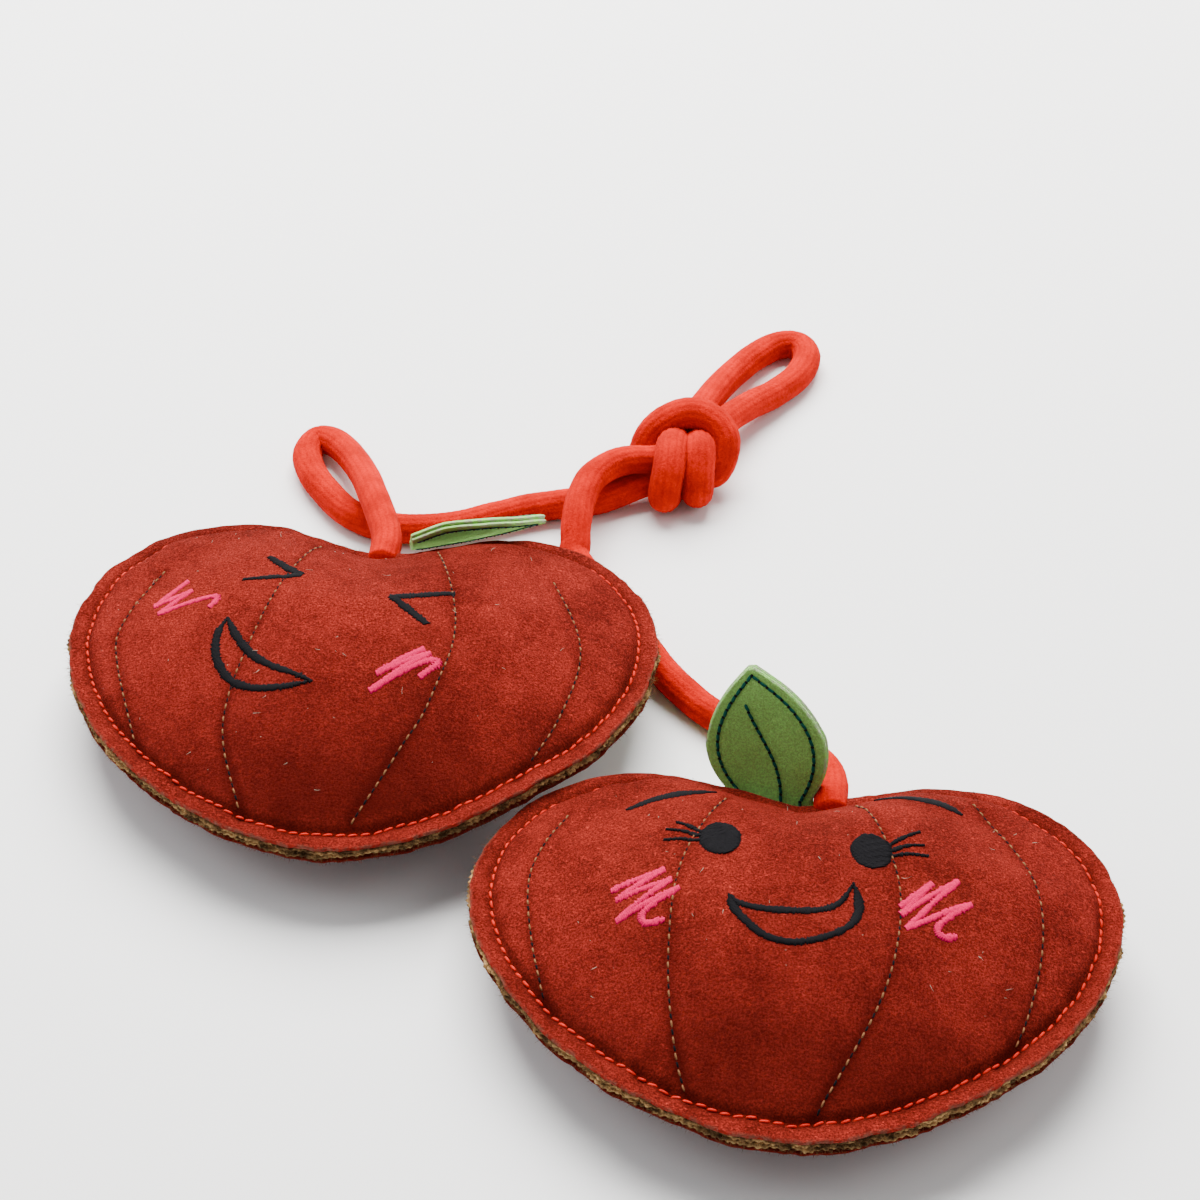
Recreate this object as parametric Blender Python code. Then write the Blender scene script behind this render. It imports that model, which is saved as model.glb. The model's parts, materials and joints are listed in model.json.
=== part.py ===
"""Two stuffed suede fruit cushions with stitched faces, joined by one knotted cotton rope.

Each cushion is a flat sandwich: suede face panel, jute lining, filling, jute lining, suede back
panel, sewn together round a seam a little inside the cut edge. Each has a two-layer suede leaf.
The rope comes out of the dip in the top of each cushion, and its middle is tied in a loop knot.

Metres, +Z up. The origin is on the resting surface, under the middle of the right cushion, whose
dip points along +Y.
"""

import math

import bmesh
import bpy
import numpy as np
from mathutils import Matrix, Vector

# Driving sizes
CUSHION_WIDTH = 0.172
RIGHT_LENGTH = 0.127
LEFT_LENGTH = 0.136
SEAM_HEIGHT = 0.020
FACE_BULGE = 0.0205
SEAM_INSET = 0.0055
SUEDE_THICKNESS = 0.0012
JUTE_THICKNESS = 0.0010
REST_SHARE = 0.30
FILLING_SHARE = 0.93
RIB_REACH = 0.965
GAP = 0.0003

THREAD_WIDTH = 0.0009
THREAD_THICKNESS = 0.0004
EMBROIDERY_THICKNESS = 0.0005
BLACK_STROKE = 0.0016
BROW_STROKE = 0.0012
CHEEK_STROKE = 0.0010
LASH_STROKE = 0.0007

LEAF_LENGTH = 0.0425
LEAF_WIDTH = 0.034
LEAF_LAYER = 0.0012
LEAF_STITCH_INSET = 0.0036

ROPE_DIAMETER = 0.0093
ROPE_STEP = 0.0095
ROPE_ON_FLOOR = ROPE_DIAMETER / 2 + 0.0001
ROOT_CLEARANCE = 0.0078
KNOT_PLACE = (-0.0415, 0.2060)
KNOT_SIZE = (0.0330, 0.0310, 0.0236)
KNOT_CLEARANCE = 0.0030

# Shape and places
OUTLINE = (
    (0, 0.340), (0.163, 0.373), (0.372, 0.417), (0.616, 0.4055), (0.837, 0.319), (0.977, 0.165),
    (0.988, -0.031), (0.872, -0.220), (0.651, -0.386), (0.349, -0.520), (0, -0.578),
)  # shares of half the width and of the length, from the dip round the right side to the bottom
CREST = (0.0, -0.007)
SEGMENTS = 32
RINGS = (REST_SHARE, 0.52, 0.72, 0.88, 1.0)
LEFT_PLACE = (-0.7494 * CUSHION_WIDTH, 0.33 * RIGHT_LENGTH + 0.374 * LEFT_LENGTH)
LEFT_TURN = -0.8
SHOULDER_CONTACT = (-0.4128 * CUSHION_WIDTH, 0.3268 * RIGHT_LENGTH)
CONTACT_REACH = 0.020
LEFT_LIFT = 0.0035
RIGHT_PRESS = -0.0022

# The embroidery and the rope's route are drawn for these sizes, and stretched to the sizes above
DRAWN_WIDTH = 0.172
DRAWN_RIGHT_LENGTH = 0.127
DRAWN_LEFT_LENGTH = 0.136
DRAWN_REACH = 0.1390

# Each face's embroidery, in metres from the middle of its own cushion
RIBS_RIGHT = (
    ((-0.062, 0.029), (-0.070, 0.006), (-0.067, -0.019), (-0.060, -0.0415)),
    ((-0.0196, 0.030), (-0.030, 0.0005), (-0.0315, -0.027), (-0.0285, -0.050), (-0.0235, -0.0640)),
    ((0.0154, 0.0375), (0.0255, 0.004), (0.0265, -0.018), (0.0215, -0.040), (0.007, -0.0660)),
    ((0.047, 0.041), (0.061, 0.014), (0.064, -0.0095), (0.059, -0.0345), (0.0522, -0.046)),
)
RIBS_LEFT = (
    ((-0.062, 0.024), (-0.0695, 0.0), (-0.0675, -0.016), (-0.0545, -0.0485)),
    ((-0.0175, 0.0380), (-0.027, -0.0095), (-0.031, -0.0325), (-0.0300, -0.048), (-0.0215, -0.0680)),
    ((0.0175, 0.0400), (0.029, -0.0025), (0.026, -0.0325), (0.0190, -0.0505), (0.0090, -0.0690)),
    ((0.0535, 0.027), (0.0645, 0.0), (0.0615, -0.0265), (0.0520, -0.0500)),
)
RIGHT_EYES = ((-0.0204, 0.0090), (0.0192, 0.0085))
EYE_SIZE = (0.0110, 0.0136)
LASH_LENGTH = 0.0098
LASH_ANGLES = (6, 24, 42)
RIGHT_BROWS = (
    ((-0.0460, 0.0277), (-0.0390, 0.0325), (-0.0305, 0.0355), (-0.0226, 0.0365)),
    ((0.0200, 0.0405), (0.0285, 0.0410), (0.0370, 0.0385), (0.0430, 0.0340)),
)
RIGHT_MOUTH = (
    (-0.0168, -0.0124), (-0.0085, -0.0165), (0.0000, -0.0168), (0.0080, -0.0145), (0.0144, -0.0052),
    (0.0163, -0.0140), (0.0095, -0.0230), (-0.0002, -0.0265), (-0.0095, -0.0240), (-0.0150, -0.0185),
)
RIGHT_CHEEKS = ((-0.0405, -0.0100, 22), (0.0355, -0.0075, 26))
LEFT_EYES = (
    ((-0.0349, 0.0119), (-0.0184, 0.0120), (-0.0301, 0.0245)),
    ((0.0267, 0.0094), (0.0100, 0.0027), (0.0213, -0.0065)),
)
LEFT_MOUTH = (
    (-0.0365, -0.0054), (-0.0316, -0.0144), (-0.0256, -0.0220), (-0.0165, -0.0285), (-0.0078, -0.0323),
    (-0.0170, -0.0345), (-0.0265, -0.0325), (-0.0345, -0.0250), (-0.0380, -0.0160),
)
LEFT_CHEEKS = ((-0.0510, 0.0075, 30), (0.0170, -0.0245, 40))
CHEEK_SIZE = (0.0125, 0.0028)
CHEEK_STROKES = 5

# Leaves: foot, direction from foot to tip, direction of the right edge, curl along and across
RIGHT_LEAF = ((-0.0057, 0.0463, 0.0165), (-0.217, 0.258, 0.941), (0.955, -0.144, 0.26), 0.9, 0.5)
LEFT_LEAF = ((-0.1213, 0.1475, 0.0195), (0.925, 0.28, 0.07), (0.1, -0.66, 0.70), 0.5, -1.0)
LEAF_GAPS = (0.0046, 0.0068)
LEAF_FOOT_SHARE = 0.13

# Rope routes: hand-placed points along the middle of the rope, starting at a cushion's dip
ROPE_LEFT = (
    (-0.1287, 0.1445, 0.0200), (-0.1306, 0.1545, 0.0197), (-0.1358, 0.1691, 0.0180),
    (-0.1415, 0.1854, 0.0140), (-0.1494, 0.2023, 0.0092), (-0.1567, 0.2125, 0.0060),
    (-0.1620, 0.2137, 0.0048), (-0.1640, 0.2062, 0.0047), (-0.1605, 0.1963, 0.0047),
    (-0.1542, 0.1870, 0.0047), (-0.1467, 0.1784, 0.0047), (-0.1385, 0.1735, 0.0047),
    (-0.1284, 0.1715, 0.0047), (-0.1187, 0.1723, 0.0047), (-0.1089, 0.1751, 0.0047),
    (-0.0989, 0.1800, 0.0047), (-0.0891, 0.1840, 0.0047), (-0.0788, 0.1866, 0.0047),
    (-0.0670, 0.1893, 0.0050), (-0.0550, 0.1970, 0.0065), (-0.0460, 0.2020, 0.0085),
)
ROPE_RIGHT = (
    (0.0080, 0.0500, 0.0200), (0.0068, 0.0585, 0.0187), (0.0020, 0.0700, 0.0140),
    (-0.0080, 0.0800, 0.0085), (-0.0200, 0.0900, 0.0052), (-0.0298, 0.0979, 0.0047),
    (-0.0405, 0.1105, 0.0047), (-0.0490, 0.1240, 0.0047), (-0.0560, 0.1385, 0.0050),
    (-0.0640, 0.1520, 0.0066), (-0.0705, 0.1640, 0.0105), (-0.0725, 0.1755, 0.0140),
    (-0.0712, 0.1860, 0.0155), (-0.0672, 0.1950, 0.0155), (-0.0600, 0.2025, 0.0145),
    (-0.0480, 0.2060, 0.0135),
)
ROPE_LOOP = (
    (-0.0400, 0.2200, 0.0150), (-0.0350, 0.2390, 0.0105), (-0.0300, 0.2540, 0.0075),
    (-0.0225, 0.2690, 0.0055), (-0.0140, 0.2790, 0.0047), (-0.0065, 0.2800, 0.0047),
    (-0.0032, 0.2730, 0.0047), (-0.0062, 0.2620, 0.0047), (-0.0135, 0.2510, 0.0055),
    (-0.0205, 0.2420, 0.0075), (-0.0265, 0.2320, 0.0100), (-0.0330, 0.2190, 0.0130),
)

# Colours, linear red green blue
RED_SUEDE = (0.42, 0.045, 0.018)
BACK_SUEDE = (0.36, 0.035, 0.022)
JUTE = (0.50, 0.34, 0.17)
FILLING = (0.80, 0.76, 0.68)
RIM_THREAD = (0.80, 0.05, 0.02)
RIB_THREAD = (0.45, 0.20, 0.09)
BLACK_THREAD = (0.017, 0.015, 0.018)
PINK_THREAD = (0.90, 0.05, 0.19)
GREEN_SUEDE = (0.15, 0.33, 0.09)
LEAF_THREAD = (0.005, 0.09, 0.06)
ROPE_RED = (0.76, 0.055, 0.022)

HALF_STACK = GAP / 2 + JUTE_THICKNESS + GAP + SUEDE_THICKNESS
THREAD_LIFT = 0.0004
EMBROIDERY_LIFT = THREAD_LIFT + THREAD_THICKNESS + GAP


def clear_scene():
    for obj in list(bpy.data.objects):
        bpy.data.objects.remove(obj)


def material(name, colour, roughness):
    found = bpy.data.materials.get(name)
    if found:
        return found
    made = bpy.data.materials.new(name)
    made.use_nodes = True
    shader = made.node_tree.nodes["Principled BSDF"]
    shader.inputs["Base Color"].default_value = (*colour, 1)
    shader.inputs["Roughness"].default_value = roughness
    shader.inputs["Metallic"].default_value = 0
    made.diffuse_color = (*colour, 1)
    return made


def smooth_line(points, per_span, closed=False):
    """A Catmull-Rom curve through the points, with per_span samples from each to the next."""
    points = np.array(points, float)
    count = len(points)
    share = np.linspace(0, 1, per_span, endpoint=False)[:, None]
    line = []
    for i in range(count if closed else count - 1):
        if closed:
            a, b, c, d = (points[(i + k) % count] for k in (-1, 0, 1, 2))
        else:
            a, b, c, d = (points[min(max(i + k, 0), count - 1)] for k in (-1, 0, 1, 2))
        line.append(
            0.5 * (2 * b + (c - a) * share + (2 * a - 5 * b + 4 * c - d) * share**2
                   + (3 * b - a - 3 * c + d) * share**3)
        )
    if not closed:
        line.append(points[-1:])
    return np.concatenate(line)


def along(line, step, closed=False):
    """Evenly spaced points along a line, about a step apart."""
    if closed:
        line = np.concatenate([line, line[:1]])
    run = np.concatenate([[0], np.cumsum(np.linalg.norm(np.diff(line, axis=0), axis=1))])
    count = max(2, round(run[-1] / step) + 1)
    places = np.linspace(0, run[-1], count)
    if closed:
        places = places[:-1]
    return np.stack([np.interp(places, run, line[:, k]) for k in range(line.shape[1])], axis=1)


def finish(name, mesh, look, parent):
    """Links a mesh as an object under its parent empty, leaving it where it was modelled."""
    obj = bpy.data.objects.new(name, mesh)
    bpy.context.scene.collection.objects.link(obj)
    obj.data.materials.append(look)
    obj.parent = parent
    obj.matrix_parent_inverse = Matrix.Translation(parent.location).inverted()
    return obj


def hinge_empty(name, place):
    empty = bpy.data.objects.new(name, None)
    bpy.context.scene.collection.objects.link(empty)
    empty.location = place
    empty.empty_display_size = 0.01
    return empty


def solid_of_loops(name, loops, look, parent, closed_path=False):
    """Joins equal loops of points end to end with bridge faces, and caps the two ends."""
    made = bmesh.new()
    rows = [[made.verts.new(p) for p in loop] for loop in loops]
    count = len(rows[0])
    pairs = list(zip(rows, rows[1:]))
    if closed_path:
        pairs.append((rows[-1], rows[0]))
    for row, following in pairs:
        for k in range(count):
            m = (k + 1) % count
            made.faces.new((row[k], row[m], following[m], following[k]))
    if not closed_path:
        made.faces.new(list(reversed(rows[0])))
        made.faces.new(rows[-1])
    bmesh.ops.recalc_face_normals(made, faces=made.faces)
    mesh = bpy.data.meshes.new(name)
    made.to_mesh(mesh)
    made.free()
    return finish(name, mesh, look, parent)


class Cushion:
    """One cushion's outline, seam and bulging surfaces, in its own flat coordinates (u, v)."""

    def __init__(self, name, place, turn, length, drawn_length, lift):
        self.name = name
        self.art_scale = (CUSHION_WIDTH / DRAWN_WIDTH, length / drawn_length)
        self.place = place
        self.turn = math.radians(turn)
        self.lift = lift
        left_half = [(-x, y) for x, y in OUTLINE[-2:0:-1]]
        edge = smooth_line(list(OUTLINE) + left_half, 24, closed=True)
        edge[:, 0] *= CUSHION_WIDTH / np.ptp(edge[:, 0])
        edge[:, 1] *= length / np.ptp(edge[:, 1])
        self.edge = along(edge, np.ptp(edge[:, 0]) / 60, closed=True)
        tangent = np.roll(self.edge, -1, axis=0) - np.roll(self.edge, 1, axis=0)
        tangent /= np.linalg.norm(tangent, axis=1)[:, None]
        outward = np.stack([-tangent[:, 1], tangent[:, 0]], axis=1)
        self.seam = self.edge - outward * SEAM_INSET
        arm = self.seam - CREST
        angle = np.arctan2(arm[:, 0], arm[:, 1])
        order = np.argsort(angle)
        self.seam_angle = angle[order]
        self.seam_reach = np.linalg.norm(arm, axis=1)[order]
        self.contact = self.flat(*SHOULDER_CONTACT)

    def clear_of(self, x, y, gap):
        """A plan point moved out from the crest, if need be, until it is a gap past the cut edge."""
        u, v = self.flat(x, y)
        du, dv = u - CREST[0], v - CREST[1]
        reach = np.interp(math.atan2(du, dv), self.seam_angle, self.seam_reach, period=2 * math.pi)
        push = max(1.0, (reach + SEAM_INSET + gap) / math.hypot(du, dv))
        return self.world(CREST[0] + push * du, CREST[1] + push * dv, 0).xy

    def art(self, points):
        """Places drawn on the face, stretched with the cushion."""
        return [(x * self.art_scale[0], y * self.art_scale[1], *more) for x, y, *more in points]

    def flat(self, x, y):
        """World x and y to the cushion's own u and v."""
        dx, dy = x - self.place[0], y - self.place[1]
        c, s = math.cos(self.turn), math.sin(self.turn)
        return c * dx + s * dy, c * dy - s * dx

    def world(self, u, v, z):
        c, s = math.cos(self.turn), math.sin(self.turn)
        return Vector((self.place[0] + c * u - s * v, self.place[1] + s * u + c * v, z))

    def share(self, u, v):
        """0 at the crest, 1 at the seam."""
        du, dv = u - CREST[0], v - CREST[1]
        reach = np.interp(math.atan2(du, dv), self.seam_angle, self.seam_reach, period=2 * math.pi)
        return math.hypot(du, dv) / reach

    def middle(self, u, v):
        """Height of the middle of the sandwich at the rim, where the two cushions meet included."""
        far = ((u - self.contact[0]) ** 2 + (v - self.contact[1]) ** 2) / (2 * CONTACT_REACH**2)
        return SEAM_HEIGHT + self.lift * math.exp(-far)

    def face(self, u, v, offset=HALF_STACK):
        crown = max(0.0, 1 - self.share(u, v) ** 2)
        return self.middle(u, v) + offset + FACE_BULGE * crown

    def back(self, u, v, offset=HALF_STACK):
        crown = (1 - self.share(u, v) ** 2) / (1 - REST_SHARE**2)
        crown = min(1.0, max(0.0, crown))
        depth = self.middle(u, v) - HALF_STACK
        return self.middle(u, v) - offset - depth * crown

    def on_face(self, u, v, height):
        return self.world(u, v, self.face(u, v) + height)

    def ring(self, share):
        """Points of one ring; a share past 1 gives the cut edge."""
        picks = np.linspace(0, len(self.seam), SEGMENTS, endpoint=False).astype(int)
        if share > 1:
            return self.edge[picks]
        return CREST + share * (self.seam[picks] - CREST)


def panel(cushion, piece, surface, near, far, look, parent):
    """A sheet between two offsets from the middle of the sandwich, out to the cut edge."""
    shares = (*RINGS, 2.0)
    build_shell(cushion, piece, surface, surface, near, far, shares, look, parent)


def filling(cushion, look, parent):
    inner = GAP / 2 - GAP
    shares = (*RINGS[:-1], FILLING_SHARE)
    build_shell(cushion, "filling", cushion.back, cushion.face, inner, inner, shares, look, parent)


def build_shell(cushion, piece, low, high, near, far, shares, look, parent):
    """A solid between a low and a high surface, joined round its outer ring."""
    made = bmesh.new()
    sides = []
    for surface, offset in ((low, near), (high, far)):
        centre = made.verts.new(cushion.world(*CREST, surface(*CREST, offset)))
        rows = [[made.verts.new(cushion.world(u, v, surface(u, v, offset)))
                 for u, v in cushion.ring(share)] for share in shares]
        for k in range(SEGMENTS):
            m = (k + 1) % SEGMENTS
            made.faces.new((centre, rows[0][k], rows[0][m]))
            for row, following in zip(rows, rows[1:]):
                made.faces.new((row[k], following[k], following[m], row[m]))
        sides.append(rows[-1])
    for k in range(SEGMENTS):
        m = (k + 1) % SEGMENTS
        made.faces.new((sides[0][k], sides[1][k], sides[1][m], sides[0][m]))
    bmesh.ops.recalc_face_normals(made, faces=made.faces)
    name = f"{cushion.name}_{piece}"
    mesh = bpy.data.meshes.new(name)
    made.to_mesh(mesh)
    made.free()
    mesh.shade_smooth()
    mesh.set_sharp_from_angle(angle=math.radians(35))
    finish(name, mesh, look, parent)


def strip_edges(path, width, closed):
    """The left and right edges of a flat strip along a path, mitred at its corners."""
    path = np.array(path, float)
    count = len(path)
    edges = []
    for i in range(count):
        before = path[i - 1] if closed or i else 2 * path[0] - path[1]
        after = path[(i + 1) % count] if closed or i < count - 1 else 2 * path[-1] - path[-2]
        first = (path[i] - before) / np.linalg.norm(path[i] - before)
        second = (after - path[i]) / np.linalg.norm(after - path[i])
        across = np.array([-(first + second)[1], (first + second)[0]])
        across /= np.linalg.norm(across)
        fit = abs(across @ np.array([-first[1], first[0]]))
        across *= min(width / 2 / max(fit, 0.05), 1.6 * width)
        edges.append((path[i] + across, path[i] - across))
    return edges


def strip(name, path, width, low, high, surface, look, parent, closed=False):
    """A thin raised strip that follows a surface, such as a line of thread."""
    loops = []
    for left, right in strip_edges(path, width, closed):
        corners = ((left, low), (right, low), (right, high), (left, high))
        loops.append([surface(*place, height) for place, height in corners])
    return solid_of_loops(name, loops, look, parent, closed_path=closed)


def patch(name, outline, low, high, surface, look, parent):
    """A flat embroidered patch that follows a surface."""
    loops = [[surface(u, v, height) for u, v in outline] for height in (low, high)]
    return solid_of_loops(name, loops, look, parent)


def thread_levels():
    return THREAD_LIFT, THREAD_LIFT + THREAD_THICKNESS


def embroidery_levels():
    return EMBROIDERY_LIFT, EMBROIDERY_LIFT + EMBROIDERY_THICKNESS


def cushion_layers(cushion, parent):
    suede = material("red_suede", RED_SUEDE, 0.95)
    back_suede = material("back_suede", BACK_SUEDE, 0.95)
    jute = material("jute", JUTE, 0.95)
    wadding = material("filling", FILLING, 1.0)
    lining = GAP / 2 + JUTE_THICKNESS
    panel(cushion, "face_panel", cushion.face, lining + GAP, HALF_STACK, suede, parent)
    panel(cushion, "face_lining", cushion.face, GAP / 2, lining, jute, parent)
    filling(cushion, wadding, parent)
    panel(cushion, "back_lining", cushion.back, GAP / 2, lining, jute, parent)
    panel(cushion, "back_panel", cushion.back, lining + GAP, HALF_STACK, back_suede, parent)


def seam_threads(cushion, ribs, parent):
    low, high = thread_levels()
    red = material("rim_thread", RIM_THREAD, 0.6)
    tan = material("rib_thread", RIB_THREAD, 0.7)
    strip(f"{cushion.name}_rim_stitch", cushion.ring(1.0), THREAD_WIDTH, low, high,
          cushion.on_face, red, parent, closed=True)
    for number, points in enumerate(ribs, 1):
        line = smooth_line(cushion.art(points), 12)
        path = along(line[[cushion.share(*p) < RIB_REACH for p in line]], 0.009)
        strip(f"{cushion.name}_rib_stitch_{number}", path, THREAD_WIDTH, low, high,
              cushion.on_face, tan, parent)


def eye_outline(centre, side):
    """An upright oval with three lashes on its outer side."""
    half_width, half_height = EYE_SIZE[0] / 2, EYE_SIZE[1] / 2
    points = []
    for degrees in range(-60, 300, 15):
        turn = math.radians(degrees)
        points.append((half_width * math.cos(turn), half_height * math.sin(turn), degrees))
    for lash in LASH_ANGLES:
        turn = math.radians(lash)
        out = np.array([math.cos(turn), math.sin(turn)])
        across = np.array([-out[1], out[0]]) * LASH_STROKE / 2
        root = np.array([half_width * math.cos(turn), half_height * math.sin(turn)])
        tip = root + out * LASH_LENGTH
        corners = (root - across, tip - across, tip + across, root + across)
        for nudge, place in zip((-0.3, -0.2, 0.2, 0.3), corners):
            points.append((*place, lash + nudge))
    points = [p for p in points if p[2] != round(p[2]) or min(abs(p[2] - lash) for lash in LASH_ANGLES) > 6.5]
    points.sort(key=lambda p: p[2])
    return [(centre[0] + side * x, centre[1] + y) for x, y, _ in points]


def cheek_path(u, v, tilt):
    """A scribbled zigzag of long strokes."""
    length, pitch = CHEEK_SIZE
    turn = math.radians(tilt)
    points = []
    for k in range(CHEEK_STROKES + 1):
        x = length / 2 * (1 if k % 2 else -1)
        y = pitch * (CHEEK_STROKES / 2 - k)
        along_u = x * math.cos(turn) - y * math.sin(turn)
        along_v = x * math.sin(turn) + y * math.cos(turn)
        points.append((u + along_u, v + along_v))
    return points


def right_face(cushion, parent):
    low, high = embroidery_levels()
    black = material("black_thread", BLACK_THREAD, 0.45)
    pink = material("pink_thread", PINK_THREAD, 0.45)
    surface = cushion.on_face
    for number, (centre, side) in enumerate(zip(cushion.art(RIGHT_EYES), (-1, 1)), 1):
        patch(f"right_eye_{number}", eye_outline(centre, side), low, high, surface, black, parent)
    for number, points in enumerate(RIGHT_BROWS, 1):
        path = along(smooth_line(cushion.art(points), 12), 0.006)
        strip(f"right_brow_{number}", path, BROW_STROKE, low, high, surface, black, parent)
    mouth = cushion.art(RIGHT_MOUTH)
    strip("right_mouth", mouth, BLACK_STROKE, low, high, surface, black, parent, closed=True)
    for number, cheek in enumerate(cushion.art(RIGHT_CHEEKS), 1):
        path = cheek_path(*cheek)
        strip(f"right_cheek_{number}", path, CHEEK_STROKE, low, high, surface, pink, parent)


def left_face(cushion, parent):
    low, high = embroidery_levels()
    black = material("black_thread", BLACK_THREAD, 0.45)
    pink = material("pink_thread", PINK_THREAD, 0.45)
    surface = cushion.on_face
    for number, eye in enumerate(LEFT_EYES, 1):
        first, corner, last = cushion.art(eye)
        path = along(np.array([first, corner]), 0.0055)[:-1].tolist()
        path += along(np.array([corner, last]), 0.0055).tolist()
        strip(f"left_eye_{number}", path, BLACK_STROKE, low, high, surface, black, parent)
    mouth = cushion.art(LEFT_MOUTH)
    strip("left_mouth", mouth, BLACK_STROKE, low, high, surface, black, parent, closed=True)
    for number, cheek in enumerate(cushion.art(LEFT_CHEEKS), 1):
        path = cheek_path(*cheek)
        strip(f"left_cheek_{number}", path, CHEEK_STROKE, low, high, surface, pink, parent)


def placed_leaf(shape, cushion, gap):
    """The leaf with its foot moved with the cushions, and kept behind the cut edge."""
    (x, y, z), *rest = shape
    x, y = stretched(x, y) if cushion.name == "left" else (x, y)
    x, y = cushion.clear_of(x, y, gap)
    return ((x, y, z - 0.020 + SEAM_HEIGHT), *rest)


def leaf_surface(leaf):
    """A function from (along, across, height) on a curled leaf to a point in space."""
    foot, axis, side, curl, cup = leaf
    foot = Vector(foot)
    axis = Vector(axis).normalized()
    side = Vector(side)
    side = (side - side.dot(axis) * axis).normalized()
    front = side.cross(axis)

    def surface(a, b, height):
        a, b = float(a), float(b)
        return foot + a * axis + b * side + (height - curl * a * a - cup * b * b) * front

    return surface


def leaf_half_width(a, width=LEAF_WIDTH, length=LEAF_LENGTH):
    share = min(1.0, max(0.0, a / length))
    swell = math.sin(math.pi * (LEAF_FOOT_SHARE + (1 - LEAF_FOOT_SHARE) * share))
    return width / 2 * max(swell, 0.0) ** 0.9


def leaf_layer(name, surface, low, high, look, parent):
    """One suede layer: rows across the leaf, each row a strip of its own width."""
    loops = []
    for a in np.linspace(0, 0.985, 9) * LEAF_LENGTH:
        half = leaf_half_width(a)
        across = np.linspace(-half, half, 5)
        loops.append([surface(a, b, low) for b in across] + [surface(a, b, high) for b in across[::-1]])
    obj = solid_of_loops(name, loops, look, parent)
    obj.data.shade_smooth()
    obj.data.set_sharp_from_angle(angle=math.radians(40))


def leaf(name, shape, parent):
    green = material("green_suede", GREEN_SUEDE, 0.95)
    thread = material("leaf_thread", LEAF_THREAD, 0.6)
    surface = leaf_surface(shape)
    leaf_layer(f"{name}_leaf_front", surface, GAP / 2, GAP / 2 + LEAF_LAYER, green, parent)
    leaf_layer(f"{name}_leaf_back", surface, -GAP / 2 - LEAF_LAYER, -GAP / 2, green, parent)
    low = GAP / 2 + LEAF_LAYER + THREAD_LIFT
    high = low + THREAD_THICKNESS
    inner_length = LEAF_LENGTH - 1.3 * LEAF_STITCH_INSET
    right = []
    for a in np.linspace(0.002, inner_length, 8)[:-1]:
        right.append((a, max(leaf_half_width(a) - LEAF_STITCH_INSET, 0.0022)))
    edge = right + [(inner_length, 0)] + [(a, -b) for a, b in reversed(right)]
    strip(f"{name}_leaf_edge_stitch", edge, THREAD_WIDTH, low, high, surface, thread, parent)
    vein = [(a, 0) for a in np.linspace(0.002, 0.78 * LEAF_LENGTH, 7)]
    strip(f"{name}_leaf_vein_stitch", vein, THREAD_WIDTH, low, high, surface, thread, parent)


def stretched(x, y):
    """A plan point of the rope, moved with the cushions' sizes."""
    reach = LEFT_PLACE[1] + OUTLINE[0][1] * LEFT_LENGTH
    return x * CUSHION_WIDTH / DRAWN_WIDTH, y * reach / DRAWN_REACH


def knot_centre():
    return (*stretched(*KNOT_PLACE), KNOT_SIZE[2] / 2 + 0.0003)


def rope_line(route, cushions):
    """The middle line of a rope clear of the floor, of the cushions and of the knot."""
    points = []
    for place, (x, y, z) in enumerate(route):
        x, y = stretched(x, y)
        z = max(z * ROPE_DIAMETER / 0.0093, ROPE_ON_FLOOR)
        beside = z + ROPE_DIAMETER / 2 > SEAM_HEIGHT - HALF_STACK - GAP
        gap = ROPE_DIAMETER / 2 + GAP if beside else -0.004
        if place == 0 and route is not ROPE_LOOP:
            gap, z = ROOT_CLEARANCE, SEAM_HEIGHT
        for cushion in cushions:
            x, y = cushion.clear_of(x, y, gap)
        points.append((x, y, z))
    line = smooth_line(points, 12)
    line[:, 2] = np.maximum(line[:, 2], ROPE_ON_FLOOR)
    away = (line - knot_centre()) / (np.array(KNOT_SIZE) / 2 + KNOT_CLEARANCE)
    return along(line[np.linalg.norm(away, axis=1) >= 1], ROPE_STEP)


def rope_tube(name, line, look, parent):
    data = bpy.data.curves.new(name, "CURVE")
    data.dimensions = "3D"
    data.bevel_depth = ROPE_DIAMETER / 2
    data.bevel_resolution = 2
    data.use_fill_caps = True
    spline = data.splines.new("POLY")
    spline.points.add(len(line) - 1)
    for point, place in zip(spline.points, line):
        point.co = (*place, 1)
    spline.use_smooth = True
    finish(name, data, look, parent)


def rope(lines, parent):
    red = material("rope", ROPE_RED, 0.95)
    for name, line in lines.items():
        rope_tube(name, line, red, parent)
    made = bmesh.new()
    bmesh.ops.create_uvsphere(made, u_segments=16, v_segments=9, radius=0.5)
    bmesh.ops.scale(made, vec=KNOT_SIZE, verts=made.verts)
    bmesh.ops.translate(made, vec=knot_centre(), verts=made.verts)
    mesh = bpy.data.meshes.new("rope_knot")
    made.to_mesh(mesh)
    made.free()
    mesh.shade_smooth()
    finish("rope_knot", mesh, red, parent)


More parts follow.
